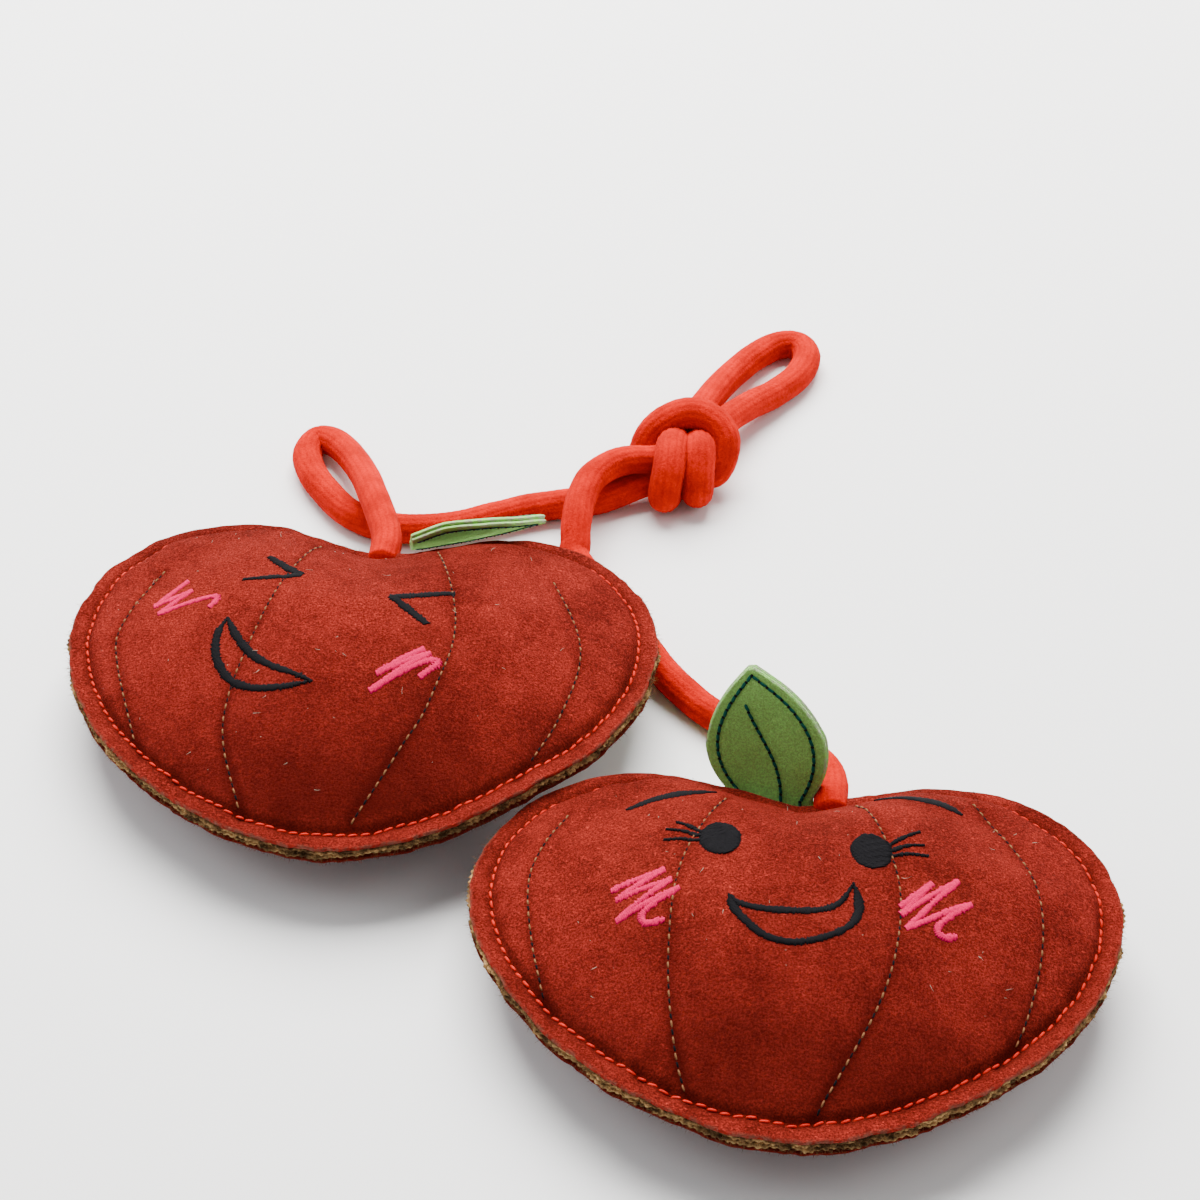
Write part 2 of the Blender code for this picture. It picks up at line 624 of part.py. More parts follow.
def main():
    clear_scene()
    right = Cushion("right", (0, 0), 0, RIGHT_LENGTH, DRAWN_RIGHT_LENGTH, RIGHT_PRESS)
    left = Cushion("left", LEFT_PLACE, LEFT_TURN, LEFT_LENGTH, DRAWN_LEFT_LENGTH, LEFT_LIFT)
    lines = {
        "rope_left_strand": rope_line(ROPE_LEFT, (left, right)),
        "rope_right_strand": rope_line(ROPE_RIGHT, (right, left)),
        "rope_loop": rope_line(ROPE_LOOP, (right, left)),
    }
    right_leaf = placed_leaf(RIGHT_LEAF, right, LEAF_GAPS[0])
    left_leaf = placed_leaf(LEFT_LEAF, left, LEAF_GAPS[1])
    right_frame = hinge_empty("right_cushion_frame", (0, 0, 0))
    rope_frame = hinge_empty("rope_hinge", lines["rope_right_strand"][0])
    left_frame = hinge_empty("left_cushion_hinge", lines["rope_left_strand"][0])
    right_leaf_frame = hinge_empty("right_leaf_hinge", right_leaf[0])
    left_leaf_frame = hinge_empty("left_leaf_hinge", left_leaf[0])
    cushion_layers(right, right_frame)
    seam_threads(right, RIBS_RIGHT, right_frame)
    right_face(right, right_frame)
    cushion_layers(left, left_frame)
    seam_threads(left, RIBS_LEFT, left_frame)
    left_face(left, left_frame)
    leaf("right", right_leaf, right_leaf_frame)
    leaf("left", left_leaf, left_leaf_frame)
    rope(lines, rope_frame)


main()
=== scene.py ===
"""The finished look of two stuffed suede fruit cushions with stitched faces, joined by a knotted rope.

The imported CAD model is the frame: every piece here sits where its CAD solids are, in metres.
Each cushion is two suede panels over lumpy jute linings, machine-sewn round the rim, with its
face embroidered in satin stitch. The rope is a felted knit tube with its knot really tied.
"""

import json
import math

import bmesh
import bpy
import numpy as np
from mathutils import Matrix, Vector

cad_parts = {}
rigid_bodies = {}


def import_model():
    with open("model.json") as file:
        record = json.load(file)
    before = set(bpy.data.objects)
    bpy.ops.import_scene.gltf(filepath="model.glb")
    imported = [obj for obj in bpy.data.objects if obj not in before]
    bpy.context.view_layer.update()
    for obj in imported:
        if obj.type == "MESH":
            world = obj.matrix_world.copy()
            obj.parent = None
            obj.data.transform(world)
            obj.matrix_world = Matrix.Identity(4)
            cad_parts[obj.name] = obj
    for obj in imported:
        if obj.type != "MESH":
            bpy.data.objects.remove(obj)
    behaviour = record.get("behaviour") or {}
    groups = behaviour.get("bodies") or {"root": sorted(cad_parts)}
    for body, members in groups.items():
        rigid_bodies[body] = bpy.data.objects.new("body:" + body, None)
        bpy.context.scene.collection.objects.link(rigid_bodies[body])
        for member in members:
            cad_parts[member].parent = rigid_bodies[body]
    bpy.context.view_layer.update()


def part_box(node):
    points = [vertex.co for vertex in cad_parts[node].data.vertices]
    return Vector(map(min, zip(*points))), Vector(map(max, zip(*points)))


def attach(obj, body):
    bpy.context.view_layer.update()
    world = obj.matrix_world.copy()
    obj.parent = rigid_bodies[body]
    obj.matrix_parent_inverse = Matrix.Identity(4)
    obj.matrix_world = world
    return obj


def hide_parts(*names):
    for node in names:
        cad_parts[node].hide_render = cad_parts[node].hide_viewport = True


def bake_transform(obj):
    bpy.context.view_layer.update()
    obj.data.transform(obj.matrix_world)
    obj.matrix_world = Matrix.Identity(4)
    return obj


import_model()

bl_info = {
    "name": "Fruit Cushions",
    "version": (1, 0, 0),
    "blender": (4, 5, 0),
    "location": "View3D > Sidebar > Fruit",
    "description": "Builds two stuffed suede fruit cushions on a knotted rope",
    "category": "Object",
}

MM = 0.001

# Sizes shared with the CAD model
CUSHION_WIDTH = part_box("right_face_panel")[1][0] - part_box("right_face_panel")[0][0]
RIGHT_LENGTH = 0.127
LEFT_LENGTH = 0.136
FULL_WIDTH = 0.172
SEAM_HEIGHT = 0.020
FACE_BULGE = 0.0205
SEAM_INSET = 0.0055
SUEDE = 0.0012
JUTE = 0.0010
GAP = 0.0003
HALF_STACK = GAP / 2 + JUTE + GAP + SUEDE
REST_SHARE = 0.30
SHOULDER = 0.0026
CREST = np.array([0.0, -0.007])
OUTLINE = (
    (0, 0.340), (0.163, 0.373), (0.372, 0.417), (0.616, 0.4055), (0.837, 0.319), (0.977, 0.165),
    (0.988, -0.031), (0.872, -0.220), (0.651, -0.386), (0.349, -0.520), (0, -0.578),
)
LEFT_PLACE = (-0.1289, 0.0928)
LEFT_TURN = -0.8
SHOULDER_CONTACT = (-0.071, 0.0415)
CONTACT_REACH = 0.020
LEFT_LIFT = 0.0035
RIGHT_PRESS = -0.0022
STITCH_PITCH = 0.0033
ROPE = 0.0093
LEAF_LENGTH = 0.0425
LEAF_WIDTH = 0.034
LEAF_FOOT_SHARE = 0.19

# Resolution of the suede panels
AROUND = 720

# Topstitched ribs, from the middle of each cushion
RIBS = {
    "right": (
        ((-0.062, 0.029), (-0.070, 0.006), (-0.067, -0.019), (-0.060, -0.0415)),
        ((-0.0196, 0.0335), (-0.030, 0.0005), (-0.0315, -0.027), (-0.0285, -0.050), (-0.0235, -0.0650)),
        ((0.0154, 0.0375), (0.0255, 0.004), (0.0265, -0.018), (0.0215, -0.040), (0.007, -0.0670)),
        ((0.047, 0.041), (0.061, 0.014), (0.064, -0.0095), (0.059, -0.0345), (0.0522, -0.046)),
    ),
    "left": (
        ((-0.062, 0.024), (-0.0695, 0.0), (-0.0675, -0.016), (-0.0545, -0.0485)),
        ((-0.0175, 0.0390), (-0.027, -0.0095), (-0.031, -0.0325), (-0.0300, -0.048), (-0.0215, -0.0690)),
        ((0.0175, 0.0400), (0.029, -0.0025), (0.026, -0.0325), (0.0190, -0.0505), (0.0090, -0.0700)),
        ((0.0535, 0.029), (0.0645, 0.0), (0.0615, -0.0265), (0.0520, -0.0510)),
    ),
}

# Embroidery: each stroke is (u, v, width) points
RIGHT_EYES = ((-0.0204, 0.0090, 8), (0.0192, 0.0085, -8))
EYE_SIZE = (0.0112, 0.0138)
LASHES = (
    (((-0.0252, 0.0122), (-0.0292, 0.0160), (-0.0322, 0.0181)),
     ((-0.0256, 0.0104), (-0.0302, 0.0134), (-0.0346, 0.0150)),
     ((-0.0256, 0.0084), (-0.0305, 0.0098), (-0.0349, 0.0101))),
    (((0.0240, 0.0122), (0.0284, 0.0162), (0.0318, 0.0190)),
     ((0.0244, 0.0100), (0.0290, 0.0124), (0.0329, 0.0133)),
     ((0.0244, 0.0080), (0.0294, 0.0092), (0.0339, 0.0091))),
)
BROWS = (
    ((-0.0462, 0.0277, 1.0), (-0.0415, 0.0309, 3.0), (-0.0350, 0.0338, 3.6), (-0.0285, 0.0357, 2.6),
     (-0.0226, 0.0365, 0.5)),
    ((0.0205, 0.0385, 0.5), (0.0270, 0.0395, 2.4), (0.0335, 0.0387, 3.5), (0.0390, 0.0365, 3.4),
     (0.0437, 0.0334, 1.2)),
)
RIGHT_MOUTH = (
    ((-0.0172, -0.0118, 0.4), (-0.0140, -0.0150, 2.0), (-0.0077, -0.0166, 2.3), (0.0000, -0.0167, 2.4),
     (0.0065, -0.0152, 2.2), (0.0112, -0.0117, 1.9), (0.0146, -0.0048, 0.4)),
    ((0.0146, -0.0048, 0.5), (0.0160, -0.0095, 2.6), (0.0158, -0.0150, 2.6), (0.0130, -0.0203, 2.2),
     (0.0070, -0.0245, 2.0), (-0.0002, -0.0264, 2.0), (-0.0075, -0.0248, 2.1), (-0.0125, -0.0205, 2.3),
     (-0.0158, -0.0160, 2.2), (-0.0172, -0.0118, 0.5)),
)
LEFT_EYES = (
    ((-0.0352, 0.0119, 1.2), (-0.0265, 0.0121, 2.2), (-0.0180, 0.0121, 2.4)),
    ((-0.0183, 0.0124, 2.8), (-0.0242, 0.0183, 3.0), (-0.0300, 0.0246, 2.2)),
    ((0.0270, 0.0096, 2.0), (0.0182, 0.0061, 2.6), (0.0096, 0.0026, 2.6)),
    ((0.0100, 0.0028, 2.8), (0.0157, -0.0018, 3.0), (0.0213, -0.0065, 2.4)),
)
LEFT_MOUTH = (
    ((-0.0366, -0.0050, 0.8), (-0.0342, -0.0098, 2.2), (-0.0316, -0.0142, 2.5), (-0.0256, -0.0216, 2.5),
     (-0.0205, -0.0256, 2.4), (-0.0150, -0.0287, 2.2), (-0.0072, -0.0325, 0.8)),
    ((-0.0366, -0.0050, 0.8), (-0.0383, -0.0107, 2.5), (-0.0377, -0.0179, 2.8), (-0.0351, -0.0238, 2.8),
     (-0.0312, -0.0285, 2.6), (-0.0245, -0.0326, 2.4), (-0.0155, -0.0342, 2.2), (-0.0072, -0.0325, 0.8)),
)
CHEEKS = {
    "right": (
        ((-0.0474, -0.0074), (-0.0343, -0.0017), (-0.0459, -0.0106), (-0.0323, -0.0054), (-0.0454, -0.0168),
         (-0.0301, -0.0084), (-0.0385, -0.0152), (-0.0380, -0.0186), (-0.0333, -0.0180)),
        ((0.0268, -0.0093), (0.0349, -0.0008), (0.0271, -0.0118), (0.0417, 0.0014), (0.0284, -0.0164),
         (0.0450, -0.0058), (0.0366, -0.0145), (0.0378, -0.0175), (0.0411, -0.0166)),
    ),
    "left": (
        ((-0.0528, 0.0149), (-0.0607, 0.0050), (-0.0504, 0.0096), (-0.0586, 0.0012), (-0.0454, 0.0050),
         (-0.0415, 0.0046), (-0.0432, 0.0006)),
        ((0.0220, -0.0168), (0.0104, -0.0277), (0.0239, -0.0179), (0.0093, -0.0335), (0.0229, -0.0213),
         (0.0267, -0.0204), (0.0223, -0.0269)),
    ),
}

# Leaves: foot, direction from foot to tip, direction of the right edge, curl along and across
LEAVES = {
    "right": ((-0.00594, 0.04851, 0.0165), (-0.217, 0.258, 0.941), (0.955, -0.144, 0.26), 0.9, 0.5),
    "left": ((-0.1213, 0.14751, 0.0195), (0.925, 0.28, 0.07), (0.1, -0.66, 0.70), 0.5, -1.0),
}

# How far each leaf's foot runs on down behind the rim
LEAF_TAILS = {"right": 0.006, "left": 0.0}

# Rope routes along the middle of the rope, the same as the CAD model's
ROPE_LEFT = (
    (-0.1287, 0.1470, 0.0200), (-0.1306, 0.1545, 0.0197), (-0.1358, 0.1691, 0.0180),
    (-0.1415, 0.1854, 0.0140), (-0.1494, 0.2023, 0.0092), (-0.1567, 0.2125, 0.0060),
    (-0.1620, 0.2137, 0.0048), (-0.1640, 0.2062, 0.0048), (-0.1605, 0.1963, 0.0048),
    (-0.1542, 0.1870, 0.0048), (-0.1467, 0.1784, 0.0048), (-0.1385, 0.1735, 0.0048),
    (-0.1284, 0.1715, 0.0048), (-0.1187, 0.1723, 0.0048), (-0.1089, 0.1751, 0.0048),
    (-0.0989, 0.1800, 0.0049), (-0.0891, 0.1844, 0.0050), (-0.0788, 0.1877, 0.0050),
    (-0.0670, 0.1910, 0.0052), (-0.0550, 0.1978, 0.0065), (-0.0460, 0.2020, 0.0085),
)
ROPE_RIGHT = (
    (0.0090, 0.0530, 0.0190), (0.0072, 0.0605, 0.0178), (0.0020, 0.0700, 0.0140),
    (-0.0080, 0.0800, 0.0085), (-0.0200, 0.0900, 0.0052), (-0.0298, 0.0979, 0.0048),
    (-0.0405, 0.1105, 0.0048), (-0.0490, 0.1240, 0.0048), (-0.0565, 0.1370, 0.0055),
    (-0.0712, 0.1560, 0.0080), (-0.0722, 0.1627, 0.0100), (-0.0726, 0.1696, 0.0128),
    (-0.0720, 0.1787, 0.0147), (-0.0696, 0.1880, 0.0155), (-0.0651, 0.1945, 0.0155),
    (-0.0587, 0.1997, 0.0145), (-0.0509, 0.2022, 0.0132), (-0.0426, 0.2096, 0.0100),
)
ROPE_LOOP = (
    (-0.0400, 0.2200, 0.0150), (-0.0350, 0.2390, 0.0105), (-0.0300, 0.2540, 0.0075),
    (-0.0225, 0.2690, 0.0055), (-0.0140, 0.2790, 0.0048), (-0.0065, 0.2800, 0.0048),
    (-0.0032, 0.2730, 0.0048), (-0.0062, 0.2620, 0.0048), (-0.0135, 0.2510, 0.0055),
    (-0.0205, 0.2420, 0.0075), (-0.0265, 0.2320, 0.0100), (-0.0330, 0.2190, 0.0130),
)
KNOT_RUNS = (
    (
        (-0.0546, 0.2112, 0.0075), (-0.0527, 0.2128, 0.0140), (-0.0478, 0.2148, 0.0192),
        (-0.0406, 0.2168, 0.0215), (-0.0334, 0.2155, 0.0207), (-0.0288, 0.2120, 0.0170),
        (-0.0288, 0.2080, 0.0120), (-0.0316, 0.2050, 0.0075), (-0.0360, 0.2080, 0.0058),
    ),
    (
        (-0.0431, 0.2215, 0.0080), (-0.0442, 0.2120, 0.0135), (-0.0450, 0.2035, 0.0178),
        (-0.0454, 0.1950, 0.0160), (-0.0464, 0.1908, 0.0095), (-0.0462, 0.1940, 0.0056),
        (-0.0434, 0.2032, 0.0056),
    ),
    (
        (-0.0361, 0.2225, 0.0080), (-0.0366, 0.2125, 0.0130), (-0.0359, 0.2035, 0.0170),
        (-0.0359, 0.1968, 0.0130), (-0.0361, 0.1945, 0.0075), (-0.0360, 0.2000, 0.0056),
        (-0.0360, 0.2090, 0.0056),
    ),
)


# ---------------------------------------------------------------- settings a user would change


class FRUIT_SuedeSettings(bpy.types.PropertyGroup):
    """Sizes and colours of the suede."""

    red: bpy.props.FloatVectorProperty(
        name="Red suede", description="Main colour of the cushions' faces", subtype="COLOR",
        size=3, min=0, max=1, default=(0.490, 0.0330, 0.0235))
    # Deep red: the dark end of the nap's random mottle, and the colour that the painted shade in the creases and on
    # the lower front mixes toward
    deep: bpy.props.FloatVectorProperty(
        name="Deep red", description="Colour of the suede where its nap lies down", subtype="COLOR",
        size=3, min=0, max=1, default=(0.072, 0.0016, 0.0013))
    back: bpy.props.FloatVectorProperty(
        name="Back suede", description="Colour of the fuzzy back panels", subtype="COLOR",
        size=3, min=0, max=1, default=(0.20, 0.011, 0.006))
    green: bpy.props.FloatVectorProperty(
        name="Green suede", description="Colour of the leaves", subtype="COLOR",
        size=3, min=0, max=1, default=(0.420, 0.880, 0.215))
    groove: bpy.props.FloatProperty(
        name="Rib groove", description="How deep the topstitching pulls the face in",
        unit="LENGTH", default=0.0005, min=0)
    pucker: bpy.props.FloatProperty(
        name="Pucker", description="Height of the gathers beside the rim seam",
        unit="LENGTH", default=0.0007, min=0)


class FRUIT_ThreadSettings(bpy.types.PropertyGroup):
    """Sizes and colours of the threads."""

    rim: bpy.props.FloatVectorProperty(
        name="Rim thread", description="Colour of the rim seam", subtype="COLOR",
        size=3, min=0, max=1, default=(0.50, 0.011, 0.004))
    tan: bpy.props.FloatVectorProperty(
        name="Rib thread", description="Colour of the topstitching", subtype="COLOR",
        size=3, min=0, max=1, default=(0.190, 0.078, 0.032))
    black: bpy.props.FloatVectorProperty(
        name="Black thread", description="Colour of the eyes, brows and mouths", subtype="COLOR",
        size=3, min=0, max=1, default=(0.0045, 0.0042, 0.0055))
    pink: bpy.props.FloatVectorProperty(
        name="Pink thread", description="Colour of the cheeks", subtype="COLOR",
        size=3, min=0, max=1, default=(0.54, 0.0003, 0.072))
    leaf: bpy.props.FloatVectorProperty(
        name="Leaf thread", description="Colour of the leaf stitching", subtype="COLOR",
        size=3, min=0, max=1, default=(0.002, 0.085, 0.060))
    satin: bpy.props.FloatProperty(
        name="Satin pitch", description="Spacing of the threads in the satin stitch",
        unit="LENGTH", default=0.00048, min=0.0001)


class FRUIT_RopeSettings(bpy.types.PropertyGroup):
    """Sizes and colours of the rope."""

    red: bpy.props.FloatVectorProperty(
        name="Rope", description="Colour of the knitted rope", subtype="COLOR",
        size=3, min=0, max=1, default=(0.56, 0.0072, 0.0010))
    columns: bpy.props.IntProperty(
        name="Knit columns", description="Columns of knit stitches round the rope", default=14, min=4)
    fuzz: bpy.props.IntProperty(
        name="Fuzz", description="Loose fibres on each stretch of rope", default=2600, min=0)


# ---------------------------------------------------------------- curves and noise


def smooth_line(points, per_span, closed=False):
    """A Catmull-Rom curve through the points, with per_span samples from each to the next."""
    points = np.array(points, float)
    count = len(points)
    share = np.linspace(0, 1, per_span, endpoint=False)[:, None]
    line = []
    for i in range(count if closed else count - 1):
        if closed:
            a, b, c, d = (points[(i + k) % count] for k in (-1, 0, 1, 2))
        else:
            a, b, c, d = (points[min(max(i + k, 0), count - 1)] for k in (-1, 0, 1, 2))
        line.append(0.5 * (2 * b + (c - a) * share + (2 * a - 5 * b + 4 * c - d) * share**2
                           + (3 * b - a - 3 * c + d) * share**3))
    if not closed:
        line.append(points[-1:])
    return np.concatenate(line)


def run_of(line):
    return np.concatenate([[0], np.cumsum(np.linalg.norm(np.diff(line, axis=0), axis=1))])


def along(line, step, closed=False):
    """Evenly spaced points along a line, about a step apart."""
    if closed:
        line = np.concatenate([line, line[:1]])
    run = run_of(line)
    count = max(2, round(run[-1] / step) + 1)
    places = np.linspace(0, run[-1], count)
    if closed:
        places = places[:-1]
    return np.stack([np.interp(places, run, line[:, k]) for k in range(line.shape[1])], axis=1)


def value_noise(x, y, size, seed):
    """Smooth seeded noise from -1 to 1, with bumps about a size across."""
    lattice = np.random.default_rng(seed).uniform(-1, 1, (64, 64))
    x, y = np.asarray(x) / size + 17.3, np.asarray(y) / size + 29.1
    i, j = np.floor(x).astype(int), np.floor(y).astype(int)
    a, b = x - i, y - j
    a, b = a * a * a * (a * (6 * a - 15) + 10), b * b * b * (b * (6 * b - 15) + 10)
    i, j, i1, j1 = i % 64, j % 64, (i + 1) % 64, (j + 1) % 64
    near = lattice[i, j] * (1 - a) + lattice[i1, j] * a
    far = lattice[i, j1] * (1 - a) + lattice[i1, j1] * a
    return near * (1 - b) + far * b


def ring_noise(angle, bumps, seed):
    """Smooth seeded noise round a closed ring, with about so many bumps in a turn."""
    values = np.random.default_rng(seed).uniform(-1, 1, bumps)
    place = (angle / (2 * np.pi) % 1) * bumps
    i = np.floor(place).astype(int)
    a = place - i
    a = a * a * (3 - 2 * a)
    return values[i % bumps] * (1 - a) + values[(i + 1) % bumps] * a


# ---------------------------------------------------------------- the cushions' shape


class Cushion:
    """One cushion's outline, seam and surfaces, in its own flat coordinates (u, v)."""

    def __init__(self, name, place, turn, length, lift, seed):
        self.name = name
        self.place = place
        self.turn = math.radians(turn)
        self.lift = lift
        self.seed = seed
        left_half = [(-x, y) for x, y in OUTLINE[-2:0:-1]]
        edge = smooth_line(list(OUTLINE) + left_half, 24, closed=True)
        edge[:, 0] *= FULL_WIDTH / np.ptp(edge[:, 0])
        edge[:, 1] *= length / np.ptp(edge[:, 1])
        self.edge = along(edge, np.ptp(edge[:, 0]) / 400, closed=True)
        tangent = np.roll(self.edge, -1, axis=0) - np.roll(self.edge, 1, axis=0)
        tangent /= np.linalg.norm(tangent, axis=1)[:, None]
        outward = np.stack([-tangent[:, 1], tangent[:, 0]], axis=1)
        self.seam = self.edge - outward * SEAM_INSET
        for _ in range(30):
            self.seam = 0.5 * self.seam + 0.25 * (np.roll(self.seam, 1, axis=0) + np.roll(self.seam, -1, axis=0))
        arm = self.seam - CREST
        angle = np.arctan2(arm[:, 0], arm[:, 1])
        order = np.argsort(angle)
        self.seam_angle = angle[order]
        self.seam_reach = np.linalg.norm(arm, axis=1)[order]
        self.contact = self.flat(*SHOULDER_CONTACT)
        self.ribs = [smooth_line(points, 16) for points in RIBS[name]]

    def flat(self, x, y):
        dx, dy = x - self.place[0], y - self.place[1]
        c, s = math.cos(self.turn), math.sin(self.turn)
        return c * dx + s * dy, c * dy - s * dx

    def world(self, u, v, z):
        c, s = math.cos(self.turn), math.sin(self.turn)
        return np.stack([self.place[0] + c * u - s * v, self.place[1] + s * u + c * v, z], axis=-1)

    def polar(self, u, v):
        """(angle round the crest, distance from it, the seam's distance at that angle)."""
        du, dv = u - CREST[0], v - CREST[1]
        angle = np.arctan2(du, dv)
        reach = np.interp(angle, self.seam_angle, self.seam_reach, period=2 * np.pi)
        return angle, np.hypot(du, dv), reach

    def middle(self, u, v):
        far = ((u - self.contact[0]) ** 2 + (v - self.contact[1]) ** 2) / (2 * CONTACT_REACH**2)
        return SEAM_HEIGHT + self.lift * np.exp(-far)

    def level(self, u, v):
        """Middle of the rim's stack, with the free margin hanging a little at the notch side."""
        angle, far, reach = self.polar(u, v)
        droop = np.clip((far - reach) / SEAM_INSET, 0, 1.2) * np.clip(np.cos(angle) * 1.6 - 0.2, 0, 1)
        return self.middle(u, v) - 0.0013 * droop

    def to_ribs(self, u, v):
        """Distance to the nearest rib of topstitching."""
        nearest = np.full(np.shape(u), 1.0)
        for rib in self.ribs:
            for a, b in rib:
                nearest = np.minimum(nearest, np.hypot(u - a, v - b))
        return nearest

    def waves(self, angle, inside, seed):
        """Gathers beside the seam: short ones at it, longer ones further in."""
        near = np.exp(-np.abs(inside) / 0.0045)
        wide = np.exp(-(((inside - 0.008) / 0.010) ** 2))
        return near * ring_noise(angle, 95, seed) + 0.9 * wide * ring_noise(angle, 41, seed + 1)

    def face(self, u, v):
        """Height of the face's suede, with grooves, gathers and dents."""
        settings = bpy.context.scene.fruit_suede
        angle, far, reach = self.polar(u, v)
        share = far / reach
        inside = reach - far
        height = self.level(u, v) + HALF_STACK + FACE_BULGE * np.clip(1 - share**2, 0, 1)
        deep = np.maximum(inside, 0)
        height += SHOULDER * (0.66 + 0.34 * np.cos(angle)) * np.exp(-deep / 0.012) * (1 - np.exp(-deep / 0.0022))
        well_in = np.clip(inside / 0.016, 0, 1)
        ribs = self.to_ribs(u, v)
        height -= settings.groove * (np.exp(-((ribs / 0.0015) ** 2)) + 0.6 * np.exp(-((ribs / 0.006) ** 2)))
        height -= 0.0007 * np.exp(-((inside / 0.0014) ** 2))
        height += settings.pucker * self.waves(angle, inside, self.seed + 3)
        height += 0.0012 * well_in * value_noise(u, v, 0.030, self.seed + 11)
        height += 0.0005 * well_in * value_noise(u, v, 0.011, self.seed + 12)
        height += np.where(inside < 0, 0.0007 * ring_noise(angle, 26, self.seed + 5) * np.clip(-inside / 0.005, 0, 1), 0)
        return height

    def back(self, u, v):
        """Height of the back's suede, flat where it rests."""
        settings = bpy.context.scene.fruit_suede
        angle, far, reach = self.polar(u, v)
        share = far / reach
        inside = reach - far
        crown = np.clip((1 - share**2) / (1 - REST_SHARE**2), 0, 1)
        depth = self.middle(u, v) - HALF_STACK
        height = self.level(u, v) - HALF_STACK - depth * crown
        height += 0.0007 * np.exp(-((inside / 0.0014) ** 2))
        height -= settings.pucker * self.waves(angle, inside, self.seed + 23)
        height += 0.0006 * np.clip(inside / 0.016, 0, 1) * value_noise(u, v, 0.024, self.seed + 31)
        height += np.where(inside < 0, 0.0006 * ring_noise(angle, 26, self.seed + 5) * np.clip(-inside / 0.005, 0, 1), 0)
        return np.maximum(height, 0.0001)

    def on_face(self, u, v, lift=0.0):
        u, v = np.asarray(u, float), np.asarray(v, float)
        return self.world(u, v, self.face(u, v)) + lift * self.normal(u, v)

    def on_back(self, u, v, lift=0.0):
        u, v = np.asarray(u, float), np.asarray(v, float)
        return self.world(u, v, self.back(u, v)) - lift * np.array([0, 0, 1.0])

    def normal(self, u, v):
        step = 0.0012
        slope_u = (self.face(u + step, v) - self.face(u - step, v)) / (2 * step)
        slope_v = (self.face(u, v + step) - self.face(u, v - step)) / (2 * step)
        c, s = math.cos(self.turn), math.sin(self.turn)
        normal = np.stack([-(c * slope_u - s * slope_v), -(s * slope_u + c * slope_v), np.ones_like(slope_u)], axis=-1)
        return normal / np.linalg.norm(normal, axis=-1, keepdims=True)

    def spoke(self, angle, share, past=0.0):
        """Plan points at a share of the way to the seam, or past it by part of the cut edge's margin."""
        reach = np.interp(angle, self.seam_angle, self.seam_reach, period=2 * np.pi)
        margin = SEAM_INSET * (1 + 0.07 * ring_noise(angle, 60, self.seed) + 0.05 * ring_noise(angle, 190, self.seed + 9))
        distance = share * reach + past * margin
        return CREST[0] + distance * np.sin(angle), CREST[1] + distance * np.cos(angle)


# ---------------------------------------------------------------- mesh helpers


def deselect_all():
    for obj in bpy.context.view_layer.objects:
        obj.select_set(False)


def new_piece(name, points, faces, *looks, smooth=True):
    """A mesh object at the origin, from points and faces."""
    mesh = bpy.data.meshes.new(name)
    mesh.from_pydata(np.asarray(points).tolist(), [], faces)
    mesh.update()
    obj = bpy.data.objects.new(name, mesh)
    bpy.context.scene.collection.objects.link(obj)
    for look in looks:
        mesh.materials.append(look)
    if smooth:
        mesh.shade_smooth()
    return obj


def ring_faces(rows, count, closed_rows=False):
    """Quads between rows of count points each, where each row is a closed ring."""
    faces = []
    for r in range(rows if closed_rows else rows - 1):
        a, b = r * count, ((r + 1) % rows) * count
        faces += [(a + k, a + (k + 1) % count, b + (k + 1) % count, b + k) for k in range(count)]
    return faces


def face_outwards(obj):
    made = bmesh.new()
    made.from_mesh(obj.data)
    bmesh.ops.recalc_face_normals(made, faces=made.faces)
    made.to_mesh(obj.data)
    made.free()
    obj.data.update()


def add_values(obj, name, values):
    attribute = obj.data.attributes.new(name, "FLOAT", "POINT")
    attribute.data.foreach_set("value", np.asarray(values, np.float32))


def parallel_frames(path):
    """Tangents and two crosswise directions along a path, with no sudden twist."""
    tangent = np.gradient(path, axis=0)
    tangent /= np.linalg.norm(tangent, axis=1)[:, None]
    first = np.cross(tangent[0], [0, 0, 1.0])
    if np.linalg.norm(first) < 0.2:
        first = np.cross(tangent[0], [1.0, 0, 0])
    crosswise = [first / np.linalg.norm(first)]
    for t in tangent[1:]:
        kept = crosswise[-1] - crosswise[-1] @ t * t
        crosswise.append(kept / np.linalg.norm(kept))
    crosswise = np.array(crosswise)
    return tangent, crosswise, np.cross(tangent, crosswise)


# ---------------------------------------------------------------- materials


def mix_node(tree, kind, a, b, factor):
    """A Mix Color node with its inputs linked or set; returns its result."""
    node = tree.nodes.new("ShaderNodeMix")
    node.data_type = "RGBA"
    node.blend_type = kind
    for socket, value in ((node.inputs[0], factor), (node.inputs[6], a), (node.inputs[7], b)):
        if isinstance(value, bpy.types.NodeSocket):
            tree.links.new(value, socket)
        elif isinstance(value, (int, float)):
            socket.default_value = value
        else:
            socket.default_value = (*value, 1)
    return node.outputs[2]


def ramp(tree, factor, low, high):
    """0 below low, 1 above high, smooth between."""
    node = tree.nodes.new("ShaderNodeMapRange")
    node.interpolation_type = "SMOOTHSTEP"
    tree.links.new(factor, node.inputs[0])
    node.inputs[1].default_value = low
    node.inputs[2].default_value = high
    return node.outputs[0]


def noise_node(tree, vector, scale, detail=2.0, roughness=0.5):
    node = tree.nodes.new("ShaderNodeTexNoise")
    tree.links.new(vector, node.inputs["Vector"])
    node.inputs["Scale"].default_value = scale
    node.inputs["Detail"].default_value = detail
    node.inputs["Roughness"].default_value = roughness
    return node.outputs["Fac"]


